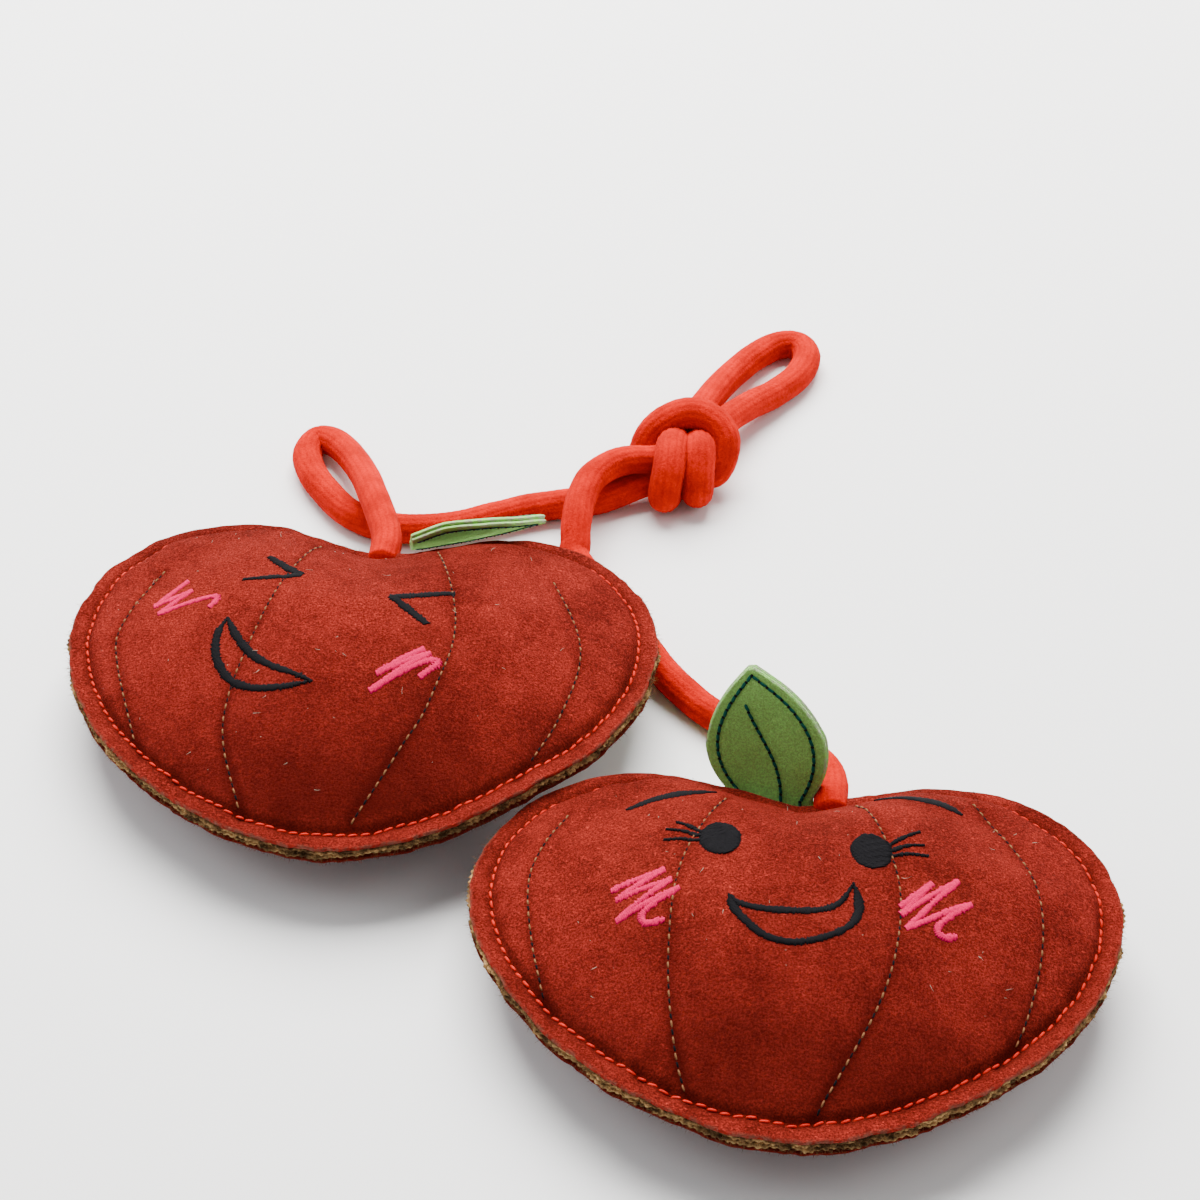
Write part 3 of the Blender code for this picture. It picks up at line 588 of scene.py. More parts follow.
def math_node(tree, kind, a, b):
    node = tree.nodes.new("ShaderNodeMath")
    node.operation = kind
    for socket, value in zip(node.inputs, (a, b)):
        if isinstance(value, bpy.types.NodeSocket):
            tree.links.new(value, socket)
        else:
            socket.default_value = value
    return node.outputs[0]


def group(name, inputs, outputs):
    """A new shader node group with float inputs (name, default) and outputs (name, kind)."""
    tree = bpy.data.node_groups.new(name, "ShaderNodeTree")
    for label, kind, default in inputs:
        socket = tree.interface.new_socket(label, in_out="INPUT", socket_type=kind)
        if default is not None:
            socket.default_value = default
    for label, kind in outputs:
        tree.interface.new_socket(label, in_out="OUTPUT", socket_type=kind)
    return tree, tree.nodes.new("NodeGroupInput"), tree.nodes.new("NodeGroupOutput")


def nap_group():
    """Suede nap: brushed clouds, fine grain and the height of the fibres, with painted highlight and shade on the
    grain.
    """
    found = bpy.data.node_groups.get("Suede nap")
    if found:
        return found
    tree, start, end = group(
        "Suede nap",
        (("Lit", "NodeSocketColor", None), ("Deep", "NodeSocketColor", None), ("Grain", "NodeSocketFloat", 1.0)),
        (("Color", "NodeSocketColor"), ("Height", "NodeSocketFloat")))
    place = tree.nodes.new("ShaderNodeTexCoord").outputs["Object"]
    clouds = ramp(tree, noise_node(tree, place, 38, 4, 0.6), 0.32, 0.66)
    brushed = ramp(tree, noise_node(tree, place, 210, 3, 0.6), 0.33, 0.70)
    grain = noise_node(tree, place, 1900, 2, 0.6)
    pits = ramp(tree, noise_node(tree, place, 1180, 5, 0.8), 0.37, 0.63)
    tone = math_node(tree, "ADD", math_node(tree, "MULTIPLY", clouds, 0.40),
                     math_node(tree, "MULTIPLY", brushed, 0.16))
    tone = math_node(tree, "ADD", tone, math_node(tree, "MULTIPLY", pits, 0.44))
    tone = math_node(tree, "ADD", tone, 0.08)
    colour = mix_node(tree, "MIX", start.outputs["Deep"], start.outputs["Lit"], tone)
    # Painted highlight and shade on the grain: the specks are lighter where the grain stands up in the bump and darker
    # where it sinks; the pits likewise lighten the raised nap through the tone
    speck = ramp(tree, grain, 0.36, 0.64)
    shade = mix_node(tree, "MIX", (0.54, 0.58, 0.54), (1.34, 1.62, 1.55), speck)
    strength = math_node(tree, "MINIMUM", math_node(tree, "MULTIPLY", start.outputs["Grain"], 0.9), 1.0)
    colour = mix_node(tree, "MULTIPLY", colour, shade, strength)
    height = math_node(tree, "ADD", math_node(tree, "MULTIPLY", grain, 0.40),
                       math_node(tree, "MULTIPLY", pits, 0.60))
    height = math_node(tree, "MULTIPLY", height, start.outputs["Grain"])
    tree.links.new(colour, end.inputs["Color"])
    tree.links.new(height, end.inputs["Height"])
    return tree


def thread_group():
    """Twisted thread: streaky noise for the plies, in the piece's object coordinates."""
    found = bpy.data.node_groups.get("Thread plies")
    if found:
        return found
    tree, start, end = group(
        "Thread plies",
        (("Color", "NodeSocketColor", None), ("Pitch", "NodeSocketFloat", 1.0)),
        (("Color", "NodeSocketColor"), ("Height", "NodeSocketFloat")))
    place = tree.nodes.new("ShaderNodeTexCoord").outputs["Object"]
    streak = noise_node(tree, place, 2300, 2, 0.6)
    tint = mix_node(tree, "MIX", (0.72, 0.72, 0.72), (1.25, 1.25, 1.25), ramp(tree, streak, 0.3, 0.7))
    tree.links.new(mix_node(tree, "MULTIPLY", start.outputs["Color"], tint, 0.8), end.inputs["Color"])
    tree.links.new(math_node(tree, "MULTIPLY", streak, start.outputs["Pitch"]), end.inputs["Height"])
    return tree


def blank_material(name, roughness):
    made = bpy.data.materials.new(name)
    made.use_nodes = True
    shader = made.node_tree.nodes["Principled BSDF"]
    shader.inputs["Roughness"].default_value = roughness
    shader.inputs["Specular IOR Level"].default_value = 0.05
    return made, made.node_tree, shader


def add_bump(tree, shader, height, distance, strength=1.0):
    bump = tree.nodes.new("ShaderNodeBump")
    bump.inputs["Strength"].default_value = strength
    bump.inputs["Distance"].default_value = distance
    tree.links.new(height, bump.inputs["Height"])
    tree.links.new(bump.outputs["Normal"], shader.inputs["Normal"])


def sheen(shader, weight, tint, roughness=0.45):
    shader.inputs["Sheen Weight"].default_value = weight
    shader.inputs["Sheen Tint"].default_value = (*tint, 1)
    shader.inputs["Sheen Roughness"].default_value = roughness


def suede(name, lit, deep, grain=1.0, raw=None, sheen_tint=(1.0, 0.14, 0.06)):
    """Napped suede. Raw is the colour of the cut edge, where the piece's edge value is 1."""
    made, tree, shader = blank_material(name, 1.0)
    shader.inputs["Specular IOR Level"].default_value = 0.03
    nap = tree.nodes.new("ShaderNodeGroup")
    nap.node_tree = nap_group()
    nap.inputs["Lit"].default_value = (*lit, 1)
    nap.inputs["Deep"].default_value = (*deep, 1)
    nap.inputs["Grain"].default_value = grain
    colour = nap.outputs["Color"]
    # Painted shade and mottle: the piece's attribute mixes the colour toward the deep red in creases, on the lower
    # front and in random patches
    shade_mottle_attribute = tree.nodes.new("ShaderNodeAttribute")
    shade_mottle_attribute.attribute_name = "burnish"
    colour = mix_node(tree, "MIX", colour, deep, shade_mottle_attribute.outputs["Fac"])
    if raw:
        cut = tree.nodes.new("ShaderNodeAttribute")
        cut.attribute_name = "cut"
        place = tree.nodes.new("ShaderNodeTexCoord").outputs["Object"]
        patchy = ramp(tree, noise_node(tree, place, 420, 3, 0.6), 0.38, 0.62)
        raw_colour = mix_node(tree, "MIX", raw, lit, patchy)
        colour = mix_node(tree, "MIX", colour, raw_colour, cut.outputs["Fac"])
    tree.links.new(colour, shader.inputs["Base Color"])
    sheen(shader, 0.06, sheen_tint)
    add_bump(tree, shader, nap.outputs["Height"], 0.0016)
    return made


def thread(name, colour, roughness=0.55, pitch=1.0, specular=0.08):
    made, tree, shader = blank_material(name, roughness)
    shader.inputs["Specular IOR Level"].default_value = specular
    plies = tree.nodes.new("ShaderNodeGroup")
    plies.node_tree = thread_group()
    plies.inputs["Color"].default_value = (*colour, 1)
    plies.inputs["Pitch"].default_value = pitch
    tree.links.new(plies.outputs["Color"], shader.inputs["Base Color"])
    add_bump(tree, shader, plies.outputs["Height"], 0.00012)
    return made


def jute_look():
    """Coarse, dusty plant fibre, with painted shade darkening it between the yarns."""
    made, tree, shader = blank_material("jute canvas", 0.95)
    place = tree.nodes.new("ShaderNodeTexCoord").outputs["Object"]
    fibre = noise_node(tree, place, 1400, 3, 0.7)
    patches = ramp(tree, noise_node(tree, place, 260, 3, 0.6), 0.35, 0.65)
    colour = mix_node(tree, "MIX", (0.060, 0.030, 0.013), (0.430, 0.255, 0.105), patches)
    # Painted shade between the yarns: darker where the fibre noise is low, which is also where the bump sinks
    shade = mix_node(tree, "MIX", (0.45, 0.40, 0.36), (1.2, 1.2, 1.2), ramp(tree, fibre, 0.3, 0.62))
    tree.links.new(mix_node(tree, "MULTIPLY", colour, shade, 1.0), shader.inputs["Base Color"])
    add_bump(tree, shader, fibre, 0.0005)
    return made


def knit_look(colour):
    """Felted knit: soft lengthwise columns, mottled, with painted shade in the valleys between the columns and a warm
    bloom at the edges.
    """
    made, tree, shader = blank_material("rope knit", 0.95)
    shader.inputs["Specular IOR Level"].default_value = 0.05
    place = tree.nodes.new("ShaderNodeTexCoord").outputs["Object"]
    groove = tree.nodes.new("ShaderNodeAttribute")
    groove.attribute_name = "groove"
    fibre = noise_node(tree, place, 1500, 3, 0.7)
    clouds = ramp(tree, noise_node(tree, place, 130, 3, 0.6), 0.3, 0.7)
    deep = tuple(c * 0.66 for c in colour)
    body = mix_node(tree, "MIX", deep, colour, clouds)
    # Painted shade: darker in the valleys between the knit columns and in the stitch hollows
    body = mix_node(tree, "MIX", body, (colour[0] * 0.55, colour[1] * 0.30, colour[2] * 0.5), groove.outputs["Fac"])
    shade = mix_node(tree, "MIX", (0.80, 0.74, 0.74), (1.12, 1.2, 1.2), ramp(tree, fibre, 0.3, 0.68))
    tree.links.new(mix_node(tree, "MULTIPLY", body, shade, 0.9), shader.inputs["Base Color"])
    sheen(shader, 0.02, (1.0, 0.12, 0.05), 0.6)
    add_bump(tree, shader, fibre, 0.0004)
    return made


def fibre_look(name, colour):
    made, tree, shader = blank_material(name, 0.9)
    place = tree.nodes.new("ShaderNodeTexCoord").outputs["Object"]
    tint = mix_node(tree, "MIX", tuple(c * 0.7 for c in colour), tuple(min(1, c * 1.2) for c in colour),
                    noise_node(tree, place, 300, 1))
    tree.links.new(tint, shader.inputs["Base Color"])
    return made


def look(name):
    """A finished material by name, made the first time it is asked for."""
    found = bpy.data.materials.get(name)
    if found:
        return found
    suede_set, threads, rope = (getattr(bpy.context.scene, f"fruit_{k}") for k in ("suede", "threads", "rope"))
    if name == "face suede":
        return suede(name, suede_set.red, suede_set.deep, raw=(0.34, 0.12, 0.08))
    if name == "back suede":
        return suede(name, suede_set.back, tuple(c * 0.4 for c in suede_set.back), grain=1.6, raw=(0.20, 0.02, 0.012))
    if name == "leaf suede":
        green = suede_set.green
        return suede(name, green, tuple(c * 0.74 for c in green), grain=0.30, raw=(0.50, 0.60, 0.38),
                     sheen_tint=(0.7, 1.0, 0.5))
    if name == "rim thread":
        return thread(name, threads.rim, 0.5)
    if name == "tan thread":
        return thread(name, threads.tan, 0.6)
    if name == "black thread":
        return thread(name, threads.black, 0.8, specular=0.07)
    if name == "pink thread":
        return thread(name, threads.pink, 0.8, specular=0.03)
    if name == "leaf thread":
        return thread(name, threads.leaf, 0.55)
    if name == "jute canvas":
        return jute_look()
    if name == "rope knit":
        return knit_look(tuple(rope.red))
    if name == "rope fibres":
        return fibre_look(name, tuple(rope.red))
    if name == "red fibres":
        return fibre_look(name, (0.22, 0.018, 0.010))
    if name == "jute fibres":
        return fibre_look(name, (0.22, 0.125, 0.055))
    return fibre_look(name, (0.50, 0.42, 0.32))


# ---------------------------------------------------------------- fibres


def fibres(name, roots, directions, lengths, radius, material, seed):
    """Many fine curled hairs in one mesh, each a tapered three-sided tube."""
    rng = np.random.default_rng(seed)
    roots, directions = np.asarray(roots, float), np.asarray(directions, float)
    count = len(roots)
    directions = directions / np.linalg.norm(directions, axis=1)[:, None]
    side = np.cross(directions, rng.normal(size=(count, 3)))
    side /= np.linalg.norm(side, axis=1)[:, None]
    other = np.cross(directions, side)
    bend = rng.uniform(-0.6, 0.6, (count, 1)) * lengths[:, None]
    points = []
    for share, width in ((0, 1.0), (0.5, 0.8), (1, 0.15)):
        centre = roots + directions * lengths[:, None] * share + other * bend * share**2
        for k in range(3):
            turn = 2 * math.pi * k / 3
            points.append(centre + radius * width * (math.cos(turn) * side + math.sin(turn) * other))
    points = np.stack(points, axis=1).reshape(-1, 3)
    faces = []
    for i in range(count):
        b = 9 * i
        for level in (0, 3):
            faces += [(b + level + k, b + level + (k + 1) % 3, b + level + 3 + (k + 1) % 3, b + level + 3 + k)
                      for k in range(3)]
        faces += [(b + 2, b + 1, b), (b + 6, b + 7, b + 8)]
    return new_piece(name, points, faces, material)


# ---------------------------------------------------------------- cushions


def panel(cushion, side):
    """A suede panel: its bulging outer surface, the cut edge, and an inner skin."""
    outer = cushion.face if side == "face" else cushion.back
    sign = 1 if side == "face" else -1
    angle = np.linspace(0, 2 * np.pi, AROUND, endpoint=False)
    shares = np.concatenate([np.linspace(0.012, 0.80, 40), np.linspace(0.812, 1.0, 24)])
    rows, cut, burnish = [], [], []
    for share in shares:
        u, v = cushion.spoke(angle, share)
        rows.append(cushion.world(u, v, outer(u, v)))
        cut.append(np.zeros(AROUND))
    for past in (0.12, 0.25, 0.4, 0.55, 0.7, 0.85, 0.95):
        u, v = cushion.spoke(angle, 1, past)
        rows.append(cushion.world(u, v, outer(u, v)))
        cut.append(np.full(AROUND, 0.0 if past < 0.9 else 0.35))
    proud = 1.0 if side == "face" else 1.05
    for past, drop, raw in ((1.0, 0.22, 0.8), (1.02, 0.6, 1.0), (0.99, 0.95, 1.0), (0.8, 1.0, 0.4), (0.2, 1.0, 0)):
        u, v = cushion.spoke(angle, 1, past * proud)
        rows.append(cushion.world(u, v, outer(u, v) - sign * drop * SUEDE))
        cut.append(np.full(AROUND, raw))
    for share in (0.9, 0.72, 0.5, 0.25):
        u, v = cushion.spoke(angle, share)
        rows.append(cushion.world(u, v, outer(u, v) - sign * (SUEDE + 0.0006)))
        cut.append(np.zeros(AROUND))
    points = np.concatenate(rows)
    faces = ring_faces(len(rows), AROUND)
    last = (len(rows) - 1) * AROUND
    faces.append(tuple(range(AROUND)))
    faces.append(tuple(last + k for k in range(AROUND)))
    obj = new_piece(f"{cushion.name}_{side}_suede", points, faces, look(f"{side} suede"))
    face_outwards(obj)
    u, v = cushion.flat(points[:, 0], points[:, 1])
    _, far, reach = cushion.polar(u, v)
    inside = reach - far
    ribs = cushion.to_ribs(u, v) if side == "face" else np.ones(len(u))
    # Painted shade: the colour darkens in the rib grooves and the seam crease; random mottle is added below
    burnish = 0.45 * np.exp(-((ribs / 0.0016) ** 2)) + 0.55 * np.exp(-((inside / 0.0017) ** 2))
    # Painted shade over the lower front of the face, which faces away from the key light; the back panel is darkened
    # evenly instead
    front_shade = np.clip((-0.004 - v) / 0.062, 0, 1)
    front_shade = front_shade * front_shade * (3 - 2 * front_shade) * np.clip(inside / 0.004, 0, 1)
    burnish += 0.62 * front_shade if side == "face" else 0.2
    # Random mottle, the suede's own uneven tone
    burnish += 0.16 * np.clip(value_noise(u, v, 0.034, cushion.seed + 40), 0, 1)
    add_values(obj, "cut", np.concatenate(cut))
    add_values(obj, "burnish", np.clip(burnish, 0, 0.86))
    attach(obj, f"{cushion.name}_cushion")
    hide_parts(f"{cushion.name}_{side}_panel", *((f"{cushion.name}_filling",) if side == "face" else ()))
    return obj


def lining(cushion, side):
    """One jute lining's lumpy, fraying edge between the suedes, closed by a flat inner part."""
    sign = 1 if side == "face" else -1
    count = 1440
    angle = np.linspace(0, 2 * np.pi, count, endpoint=False)
    u, v = cushion.spoke(angle, 1, 0.9)
    run = np.concatenate([[0], np.cumsum(np.hypot(np.diff(u), np.diff(v)))])
    yarn = 2 * np.pi * run / 0.0019 + 1.5 * ring_noise(angle, 80, cushion.seed + 60 + sign)
    lump = 0.5 + 0.5 * np.sin(yarn)
    ragged = ring_noise(angle, 140, cushion.seed + 70 + sign)
    bulk = 1 + 0.35 * ring_noise(angle, 50, cushion.seed + 66)
    base = cushion.level(u, v) + 0.0005 * ring_noise(angle, 26, cushion.seed + 5)
    rows = []
    for past, low in ((0.5, 0), (0.86, 0)):
        a, b = cushion.spoke(angle, 1, past)
        rows.append(cushion.world(a, b, base + sign * (low + 0.0001)))
    for turn in np.linspace(-80, 80, 7):
        reach = 0.90 + (0.09 + 0.09 * lump + 0.14 * ragged) * math.cos(math.radians(turn))
        a, b = cushion.spoke(angle, 1, reach)
        thick = (0.00036 + 0.00018 * lump) * bulk
        height = base + sign * (0.00072 + thick * math.sin(math.radians(turn)))
        rows.append(cushion.world(a, b, height))
    for past in (0.86, 0.5):
        a, b = cushion.spoke(angle, 1, past)
        rows.append(cushion.world(a, b, base + sign * (HALF_STACK - SUEDE - GAP)))
    faces = ring_faces(len(rows), count, closed_rows=True)
    obj = new_piece(f"{cushion.name}_{side}_jute", np.concatenate(rows), faces, look("jute canvas"))
    face_outwards(obj)
    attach(obj, f"{cushion.name}_cushion")
    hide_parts(f"{cushion.name}_{side}_lining")


def frayed_edge(cushion):
    """Loose jute ends and suede fuzz round the rim."""
    rng = np.random.default_rng(cushion.seed + 80)
    for kind, count, level, spread, reach, longest, radius in (
        ("jute fibres", 1500, 0.0, 0.0013, 1.05, 0.0022, 0.00005),
        ("red fibres", 1900, -1.0, 0.0006, 0.99, 0.0012, 0.00005),
        ("red fibres", 900, 1.0, 0.0005, 0.99, 0.0008, 0.00004),
    ):
        angle = rng.uniform(0, 2 * np.pi, count)
        u, v = cushion.spoke(angle, 1, reach)
        base = cushion.level(u, v) + level * (HALF_STACK - SUEDE / 2) + rng.uniform(-spread, spread, count)
        roots = cushion.world(u, v, base)
        out = np.stack([np.sin(angle - cushion.turn), np.cos(angle - cushion.turn), np.zeros(count)], axis=1)
        directions = out + rng.normal(0, 0.55, (count, 3))
        lengths = rng.uniform(0.3, 1.0, count) ** 1.6 * longest
        label = {0.0: "jute_ends", -1.0: "back_fuzz", 1.0: "face_fuzz"}[level]
        obj = fibres(f"{cushion.name}_{label}", roots, directions, lengths, radius, look(kind), cushion.seed + 81)
        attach(obj, f"{cushion.name}_cushion")


def lint(cushion):
    """A few pale loose fibres caught in the nap of the face."""
    rng = np.random.default_rng(cushion.seed + 90)
    count = 46
    angle, share = rng.uniform(0, 2 * np.pi, count), np.sqrt(rng.uniform(0.02, 0.9, count))
    u, v = cushion.spoke(angle, share)
    roots = cushion.on_face(u, v, 0.0001)
    flat = rng.normal(size=(count, 3)) * (1, 1, 0.12)
    obj = fibres(f"{cushion.name}_lint", roots, flat, rng.uniform(0.0004, 0.0024, count), 0.00006,
                 look("lint"), cushion.seed + 91)
    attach(obj, f"{cushion.name}_cushion")


# ---------------------------------------------------------------- stitches


def stitch_shape():
    """One lockstitch, a unit long and wide: a fat bead whose ends dive into their holes."""
    deselect_all()
    bpy.ops.mesh.primitive_uv_sphere_add(segments=8, ring_count=7, radius=0.5, rotation=(0, math.pi / 2, 0))
    obj = bpy.context.object
    bpy.ops.object.transform_apply(location=False, rotation=True, scale=False)
    points = np.empty(len(obj.data.vertices) * 3)
    obj.data.vertices.foreach_get("co", points)
    points = points.reshape(-1, 3)
    share = points[:, 0] / 0.5
    fat = np.sqrt(np.clip(1 - share**2, 0, 1))
    full = np.clip(1 - share**4, 0, 1) ** 0.5
    points[:, 1:] *= (full / np.maximum(fat, 1e-6))[:, None]
    points[:, 2] -= 0.55 * np.abs(share) ** 2.5
    faces = [tuple(p.vertices) for p in obj.data.polygons]
    bpy.data.objects.remove(obj)
    return points, faces


def lay_stitches(name, starts, ends, normals, width, height, materials, pick=None, slant=0.0):
    """Copies of the stitch from each start to its end, on a surface with these normals."""
    shape, shape_faces = stitch_shape()
    starts, ends, normals = (np.asarray(a, float) for a in (starts, ends, normals))
    lengthwise = ends - starts
    lengths = np.linalg.norm(lengthwise, axis=1)[:, None]
    lengthwise = lengthwise / lengths
    across = np.cross(normals, lengthwise)
    across /= np.linalg.norm(across, axis=1)[:, None]
    up = np.cross(lengthwise, across)
    tilt = math.tan(math.radians(slant))
    middles = (starts + ends) / 2
    points = (middles[:, None] + (lengths * lengthwise)[:, None] * shape[:, 0][None, :, None]
              + width * across[:, None] * shape[:, 1][None, :, None]
              + (lengths * tilt * across)[:, None] * shape[:, 0][None, :, None]
              + height * up[:, None] * shape[:, 2][None, :, None])
    count = len(shape)
    faces = [tuple(count * i + k for k in face) for i in range(len(starts)) for face in shape_faces]
    obj = new_piece(name, points.reshape(-1, 3), faces, *materials)
    if pick is not None:
        obj.data.polygons.foreach_set("material_index", np.repeat(pick, len(shape_faces)).astype(np.int32))
    return obj


def rim_seam(cushion):
    """The rim's lockstitch, on the face and again on the back."""
    closed = along(cushion.seam, STITCH_PITCH, closed=True)
    ahead = np.roll(closed, -1, axis=0)
    rng = np.random.default_rng(cushion.seed + 50)
    wobble = rng.normal(0, 0.00012, closed.shape)
    a, b = closed + 0.10 * (ahead - closed) + wobble, closed + 0.93 * (ahead - closed) + wobble
    face_a, face_b = cushion.on_face(*a.T, 0.0003), cushion.on_face(*b.T, 0.0003)
    middle = (a + b) / 2
    face = lay_stitches(f"{cushion.name}_rim_seam", face_a, face_b, cushion.normal(*middle.T), 0.00085, 0.00060,
                        [look("rim thread")], slant=7)
    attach(face, f"{cushion.name}_cushion")
    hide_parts(f"{cushion.name}_rim_stitch")
    down = np.tile([0, 0, -1.0], (len(a), 1))
    back = lay_stitches(f"{cushion.name}_rim_seam_back", cushion.on_back(*a.T, 0.0003),
                        cushion.on_back(*b.T, 0.0003), down, 0.00085, 0.00060, [look("rim thread")], slant=7)
    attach(back, f"{cushion.name}_cushion")


def rib_seams(cushion):
    """Topstitching down each rib: tan stitches, with short sunk black stitches between them as painted shade for the
    needle holes.
    """
    for number, rib in enumerate(cushion.ribs, 1):
        _, far, reach = cushion.polar(rib[:, 0], rib[:, 1])
        line = along(rib[far / reach < 0.985], 0.0019)
        a = line[:-1] + 0.04 * (line[1:] - line[:-1])
        b = line[:-1] + 0.96 * (line[1:] - line[:-1])
        middle = (a + b) / 2
        # Painted shade: every other stitch is black and sunk lower, standing in for the shaded needle holes
        dark = np.arange(len(a)) % 2
        lift = np.where(dark, 0.00004, 0.00018)
        normal = cushion.normal(*middle.T)
        obj = lay_stitches(f"{cushion.name}_rib_seam_{number}", cushion.on_face(*a.T) + lift[:, None] * normal,
                           cushion.on_face(*b.T) + lift[:, None] * normal, normal, 0.00054, 0.00045,
                           [look("tan thread"), look("black thread")], pick=dark, slant=4)
        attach(obj, f"{cushion.name}_cushion")
        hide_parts(f"{cushion.name}_rib_stitch_{number}")


def satin(cushion, name, node, lefts, rights, material, slot_name, height=0.00050):
    """Satin stitch: threads laid side by side from the left edge of a shape to its right edge."""
    pitch = bpy.context.scene.fruit_threads.satin
    lefts, rights = np.asarray(lefts), np.asarray(rights)
    middle = (lefts + rights) / 2
    normal = cushion.normal(*middle.T)
    obj = lay_stitches(name, cushion.on_face(*lefts.T) + 0.00022 * normal,
                       cushion.on_face(*rights.T) + 0.00022 * normal, normal,
                       pitch * 1.3, height, [material])
    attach(obj, f"{cushion.name}_cushion")
    if node:
        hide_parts(node)
    return obj


def stroke_edges(points, pitch, seed, widths=None, slant=0.25):
    """Left and right ends of satin threads along a stroke whose points carry their width in millimetres."""
    line = smooth_line(points, 14)
    run = run_of(line[:, :2])
    places = np.linspace(0, run[-1], max(3, round(run[-1] / pitch) + 1))
    line = np.stack([np.interp(places, run, line[:, k]) for k in range(line.shape[1])], axis=1)
    if widths is not None:
        line = np.column_stack([line[:, :2], np.full(len(line), widths)])
    tangent = np.gradient(line[:, :2], axis=0)
    tangent /= np.linalg.norm(tangent, axis=1)[:, None]
    across = np.stack([-tangent[:, 1], tangent[:, 0]], axis=1)
    rng = np.random.default_rng(seed)
    half = line[:, 2:3] * MM / 2 + rng.normal(0, 0.00016, (len(line), 1))
    lean = tangent * half * slant
    return line[:, :2] + across * half + lean, line[:, :2] - across * half - lean


def satin_strokes(cushion, name, nodes, strokes, material, slot_name, widths=None):
    """Several strokes of satin stitch in one piece."""
    pitch = bpy.context.scene.fruit_threads.satin
    ends = [stroke_edges(stroke, pitch, cushion.seed + k, widths) for k, stroke in enumerate(strokes)]
    obj = satin(cushion, name, None, np.concatenate([a for a, _ in ends]), np.concatenate([b for _, b in ends]),
                material, slot_name)
    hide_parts(*nodes)
    return obj


def eye(cushion, number, lashes):
    """A filled oval of slanting satin threads, with three lashes."""
    u, v, lean = RIGHT_EYES[number - 1]
    pitch = bpy.context.scene.fruit_threads.satin
    tilt = math.radians(28)
    lengthwise = np.array([math.cos(tilt), math.sin(tilt)])
    across = np.array([-lengthwise[1], lengthwise[0]])
    half_u, half_v = EYE_SIZE[0] / 2, EYE_SIZE[1] / 2
    turn = math.radians(lean)
    grid = np.array([[math.cos(turn), math.sin(turn)], [-math.sin(turn), math.cos(turn)]])
    shape = grid.T @ np.diag([1 / half_u**2, 1 / half_v**2]) @ grid
    lefts, rights = [], []
    rng = np.random.default_rng(cushion.seed + 200 + number)
    for offset in np.arange(-0.0075, 0.0075, pitch):
        a = lengthwise @ shape @ lengthwise
        b = 2 * offset * lengthwise @ shape @ across
        c = offset**2 * across @ shape @ across - 1
        root = b * b - 4 * a * c
        if root <= 0:
            continue
        low, high = (-b - math.sqrt(root)) / (2 * a), (-b + math.sqrt(root)) / (2 * a)
        if high - low < 0.0008:
            continue
        base = np.array([u, v]) + offset * across
        lefts.append(base + low * lengthwise)
        rights.append(base + high * lengthwise)
        cuts = np.linspace(low, high, 3)
        cuts[1] += rng.uniform(-0.0014, 0.0014)
        cuts[0] += rng.normal(0, 0.0001)
        cuts[2] += rng.normal(0, 0.0001)
        for start, stop in zip(cuts, cuts[1:]):
            lefts.append(base + (start - 0.0002) * lengthwise)
            rights.append(base + (stop + 0.0002) * lengthwise)
    strokes = [[(*place, width) for place, width in zip(lash, (1.4, 1.4, 1.0))] for lash in lashes]
    ends = [stroke_edges(stroke, pitch, cushion.seed + 210 + k) for k, stroke in enumerate(strokes)]
    lefts = np.concatenate([lefts] + [a for a, _ in ends])
    rights = np.concatenate([rights] + [b for _, b in ends])
    obj = satin(cushion, f"right_eye_satin_{number}", f"right_eye_{number}", lefts, rights,
                look("black thread"), "black_thread", height=0.0006)
    return obj


# ---------------------------------------------------------------- leaves


def leaf_surface(name):
    foot, axis, side, curl, cup = LEAVES[name]
    foot, axis, side = np.array(foot), np.array(axis), np.array(side)
    axis = axis / np.linalg.norm(axis)
    side = side - side @ axis * axis
    side /= np.linalg.norm(side)
    front = np.cross(side, axis)

    def surface(a, b, height=0.0):
        a, b, height = np.broadcast_arrays(np.asarray(a, float), np.asarray(b, float), np.asarray(height, float))
        wave = 0.0005 * np.sin(a / 0.0085 + 1.2) * (b / 0.015) + 0.0006 * value_noise(a, b, 0.013, 5)
        lift = height - curl * a * a - cup * b * b + wave * np.clip(a / 0.01, 0, 1)
        return foot + a[..., None] * axis + b[..., None] * side + lift[..., None] * front

    return surface, front


def leaf_half_width(a):
    share = np.clip(a / LEAF_LENGTH, 0, 1)
    swell = np.sin(np.pi * (LEAF_FOOT_SHARE + (1 - LEAF_FOOT_SHARE) * share))
    return LEAF_WIDTH / 2 * np.clip(swell, 0, 1) ** 0.9


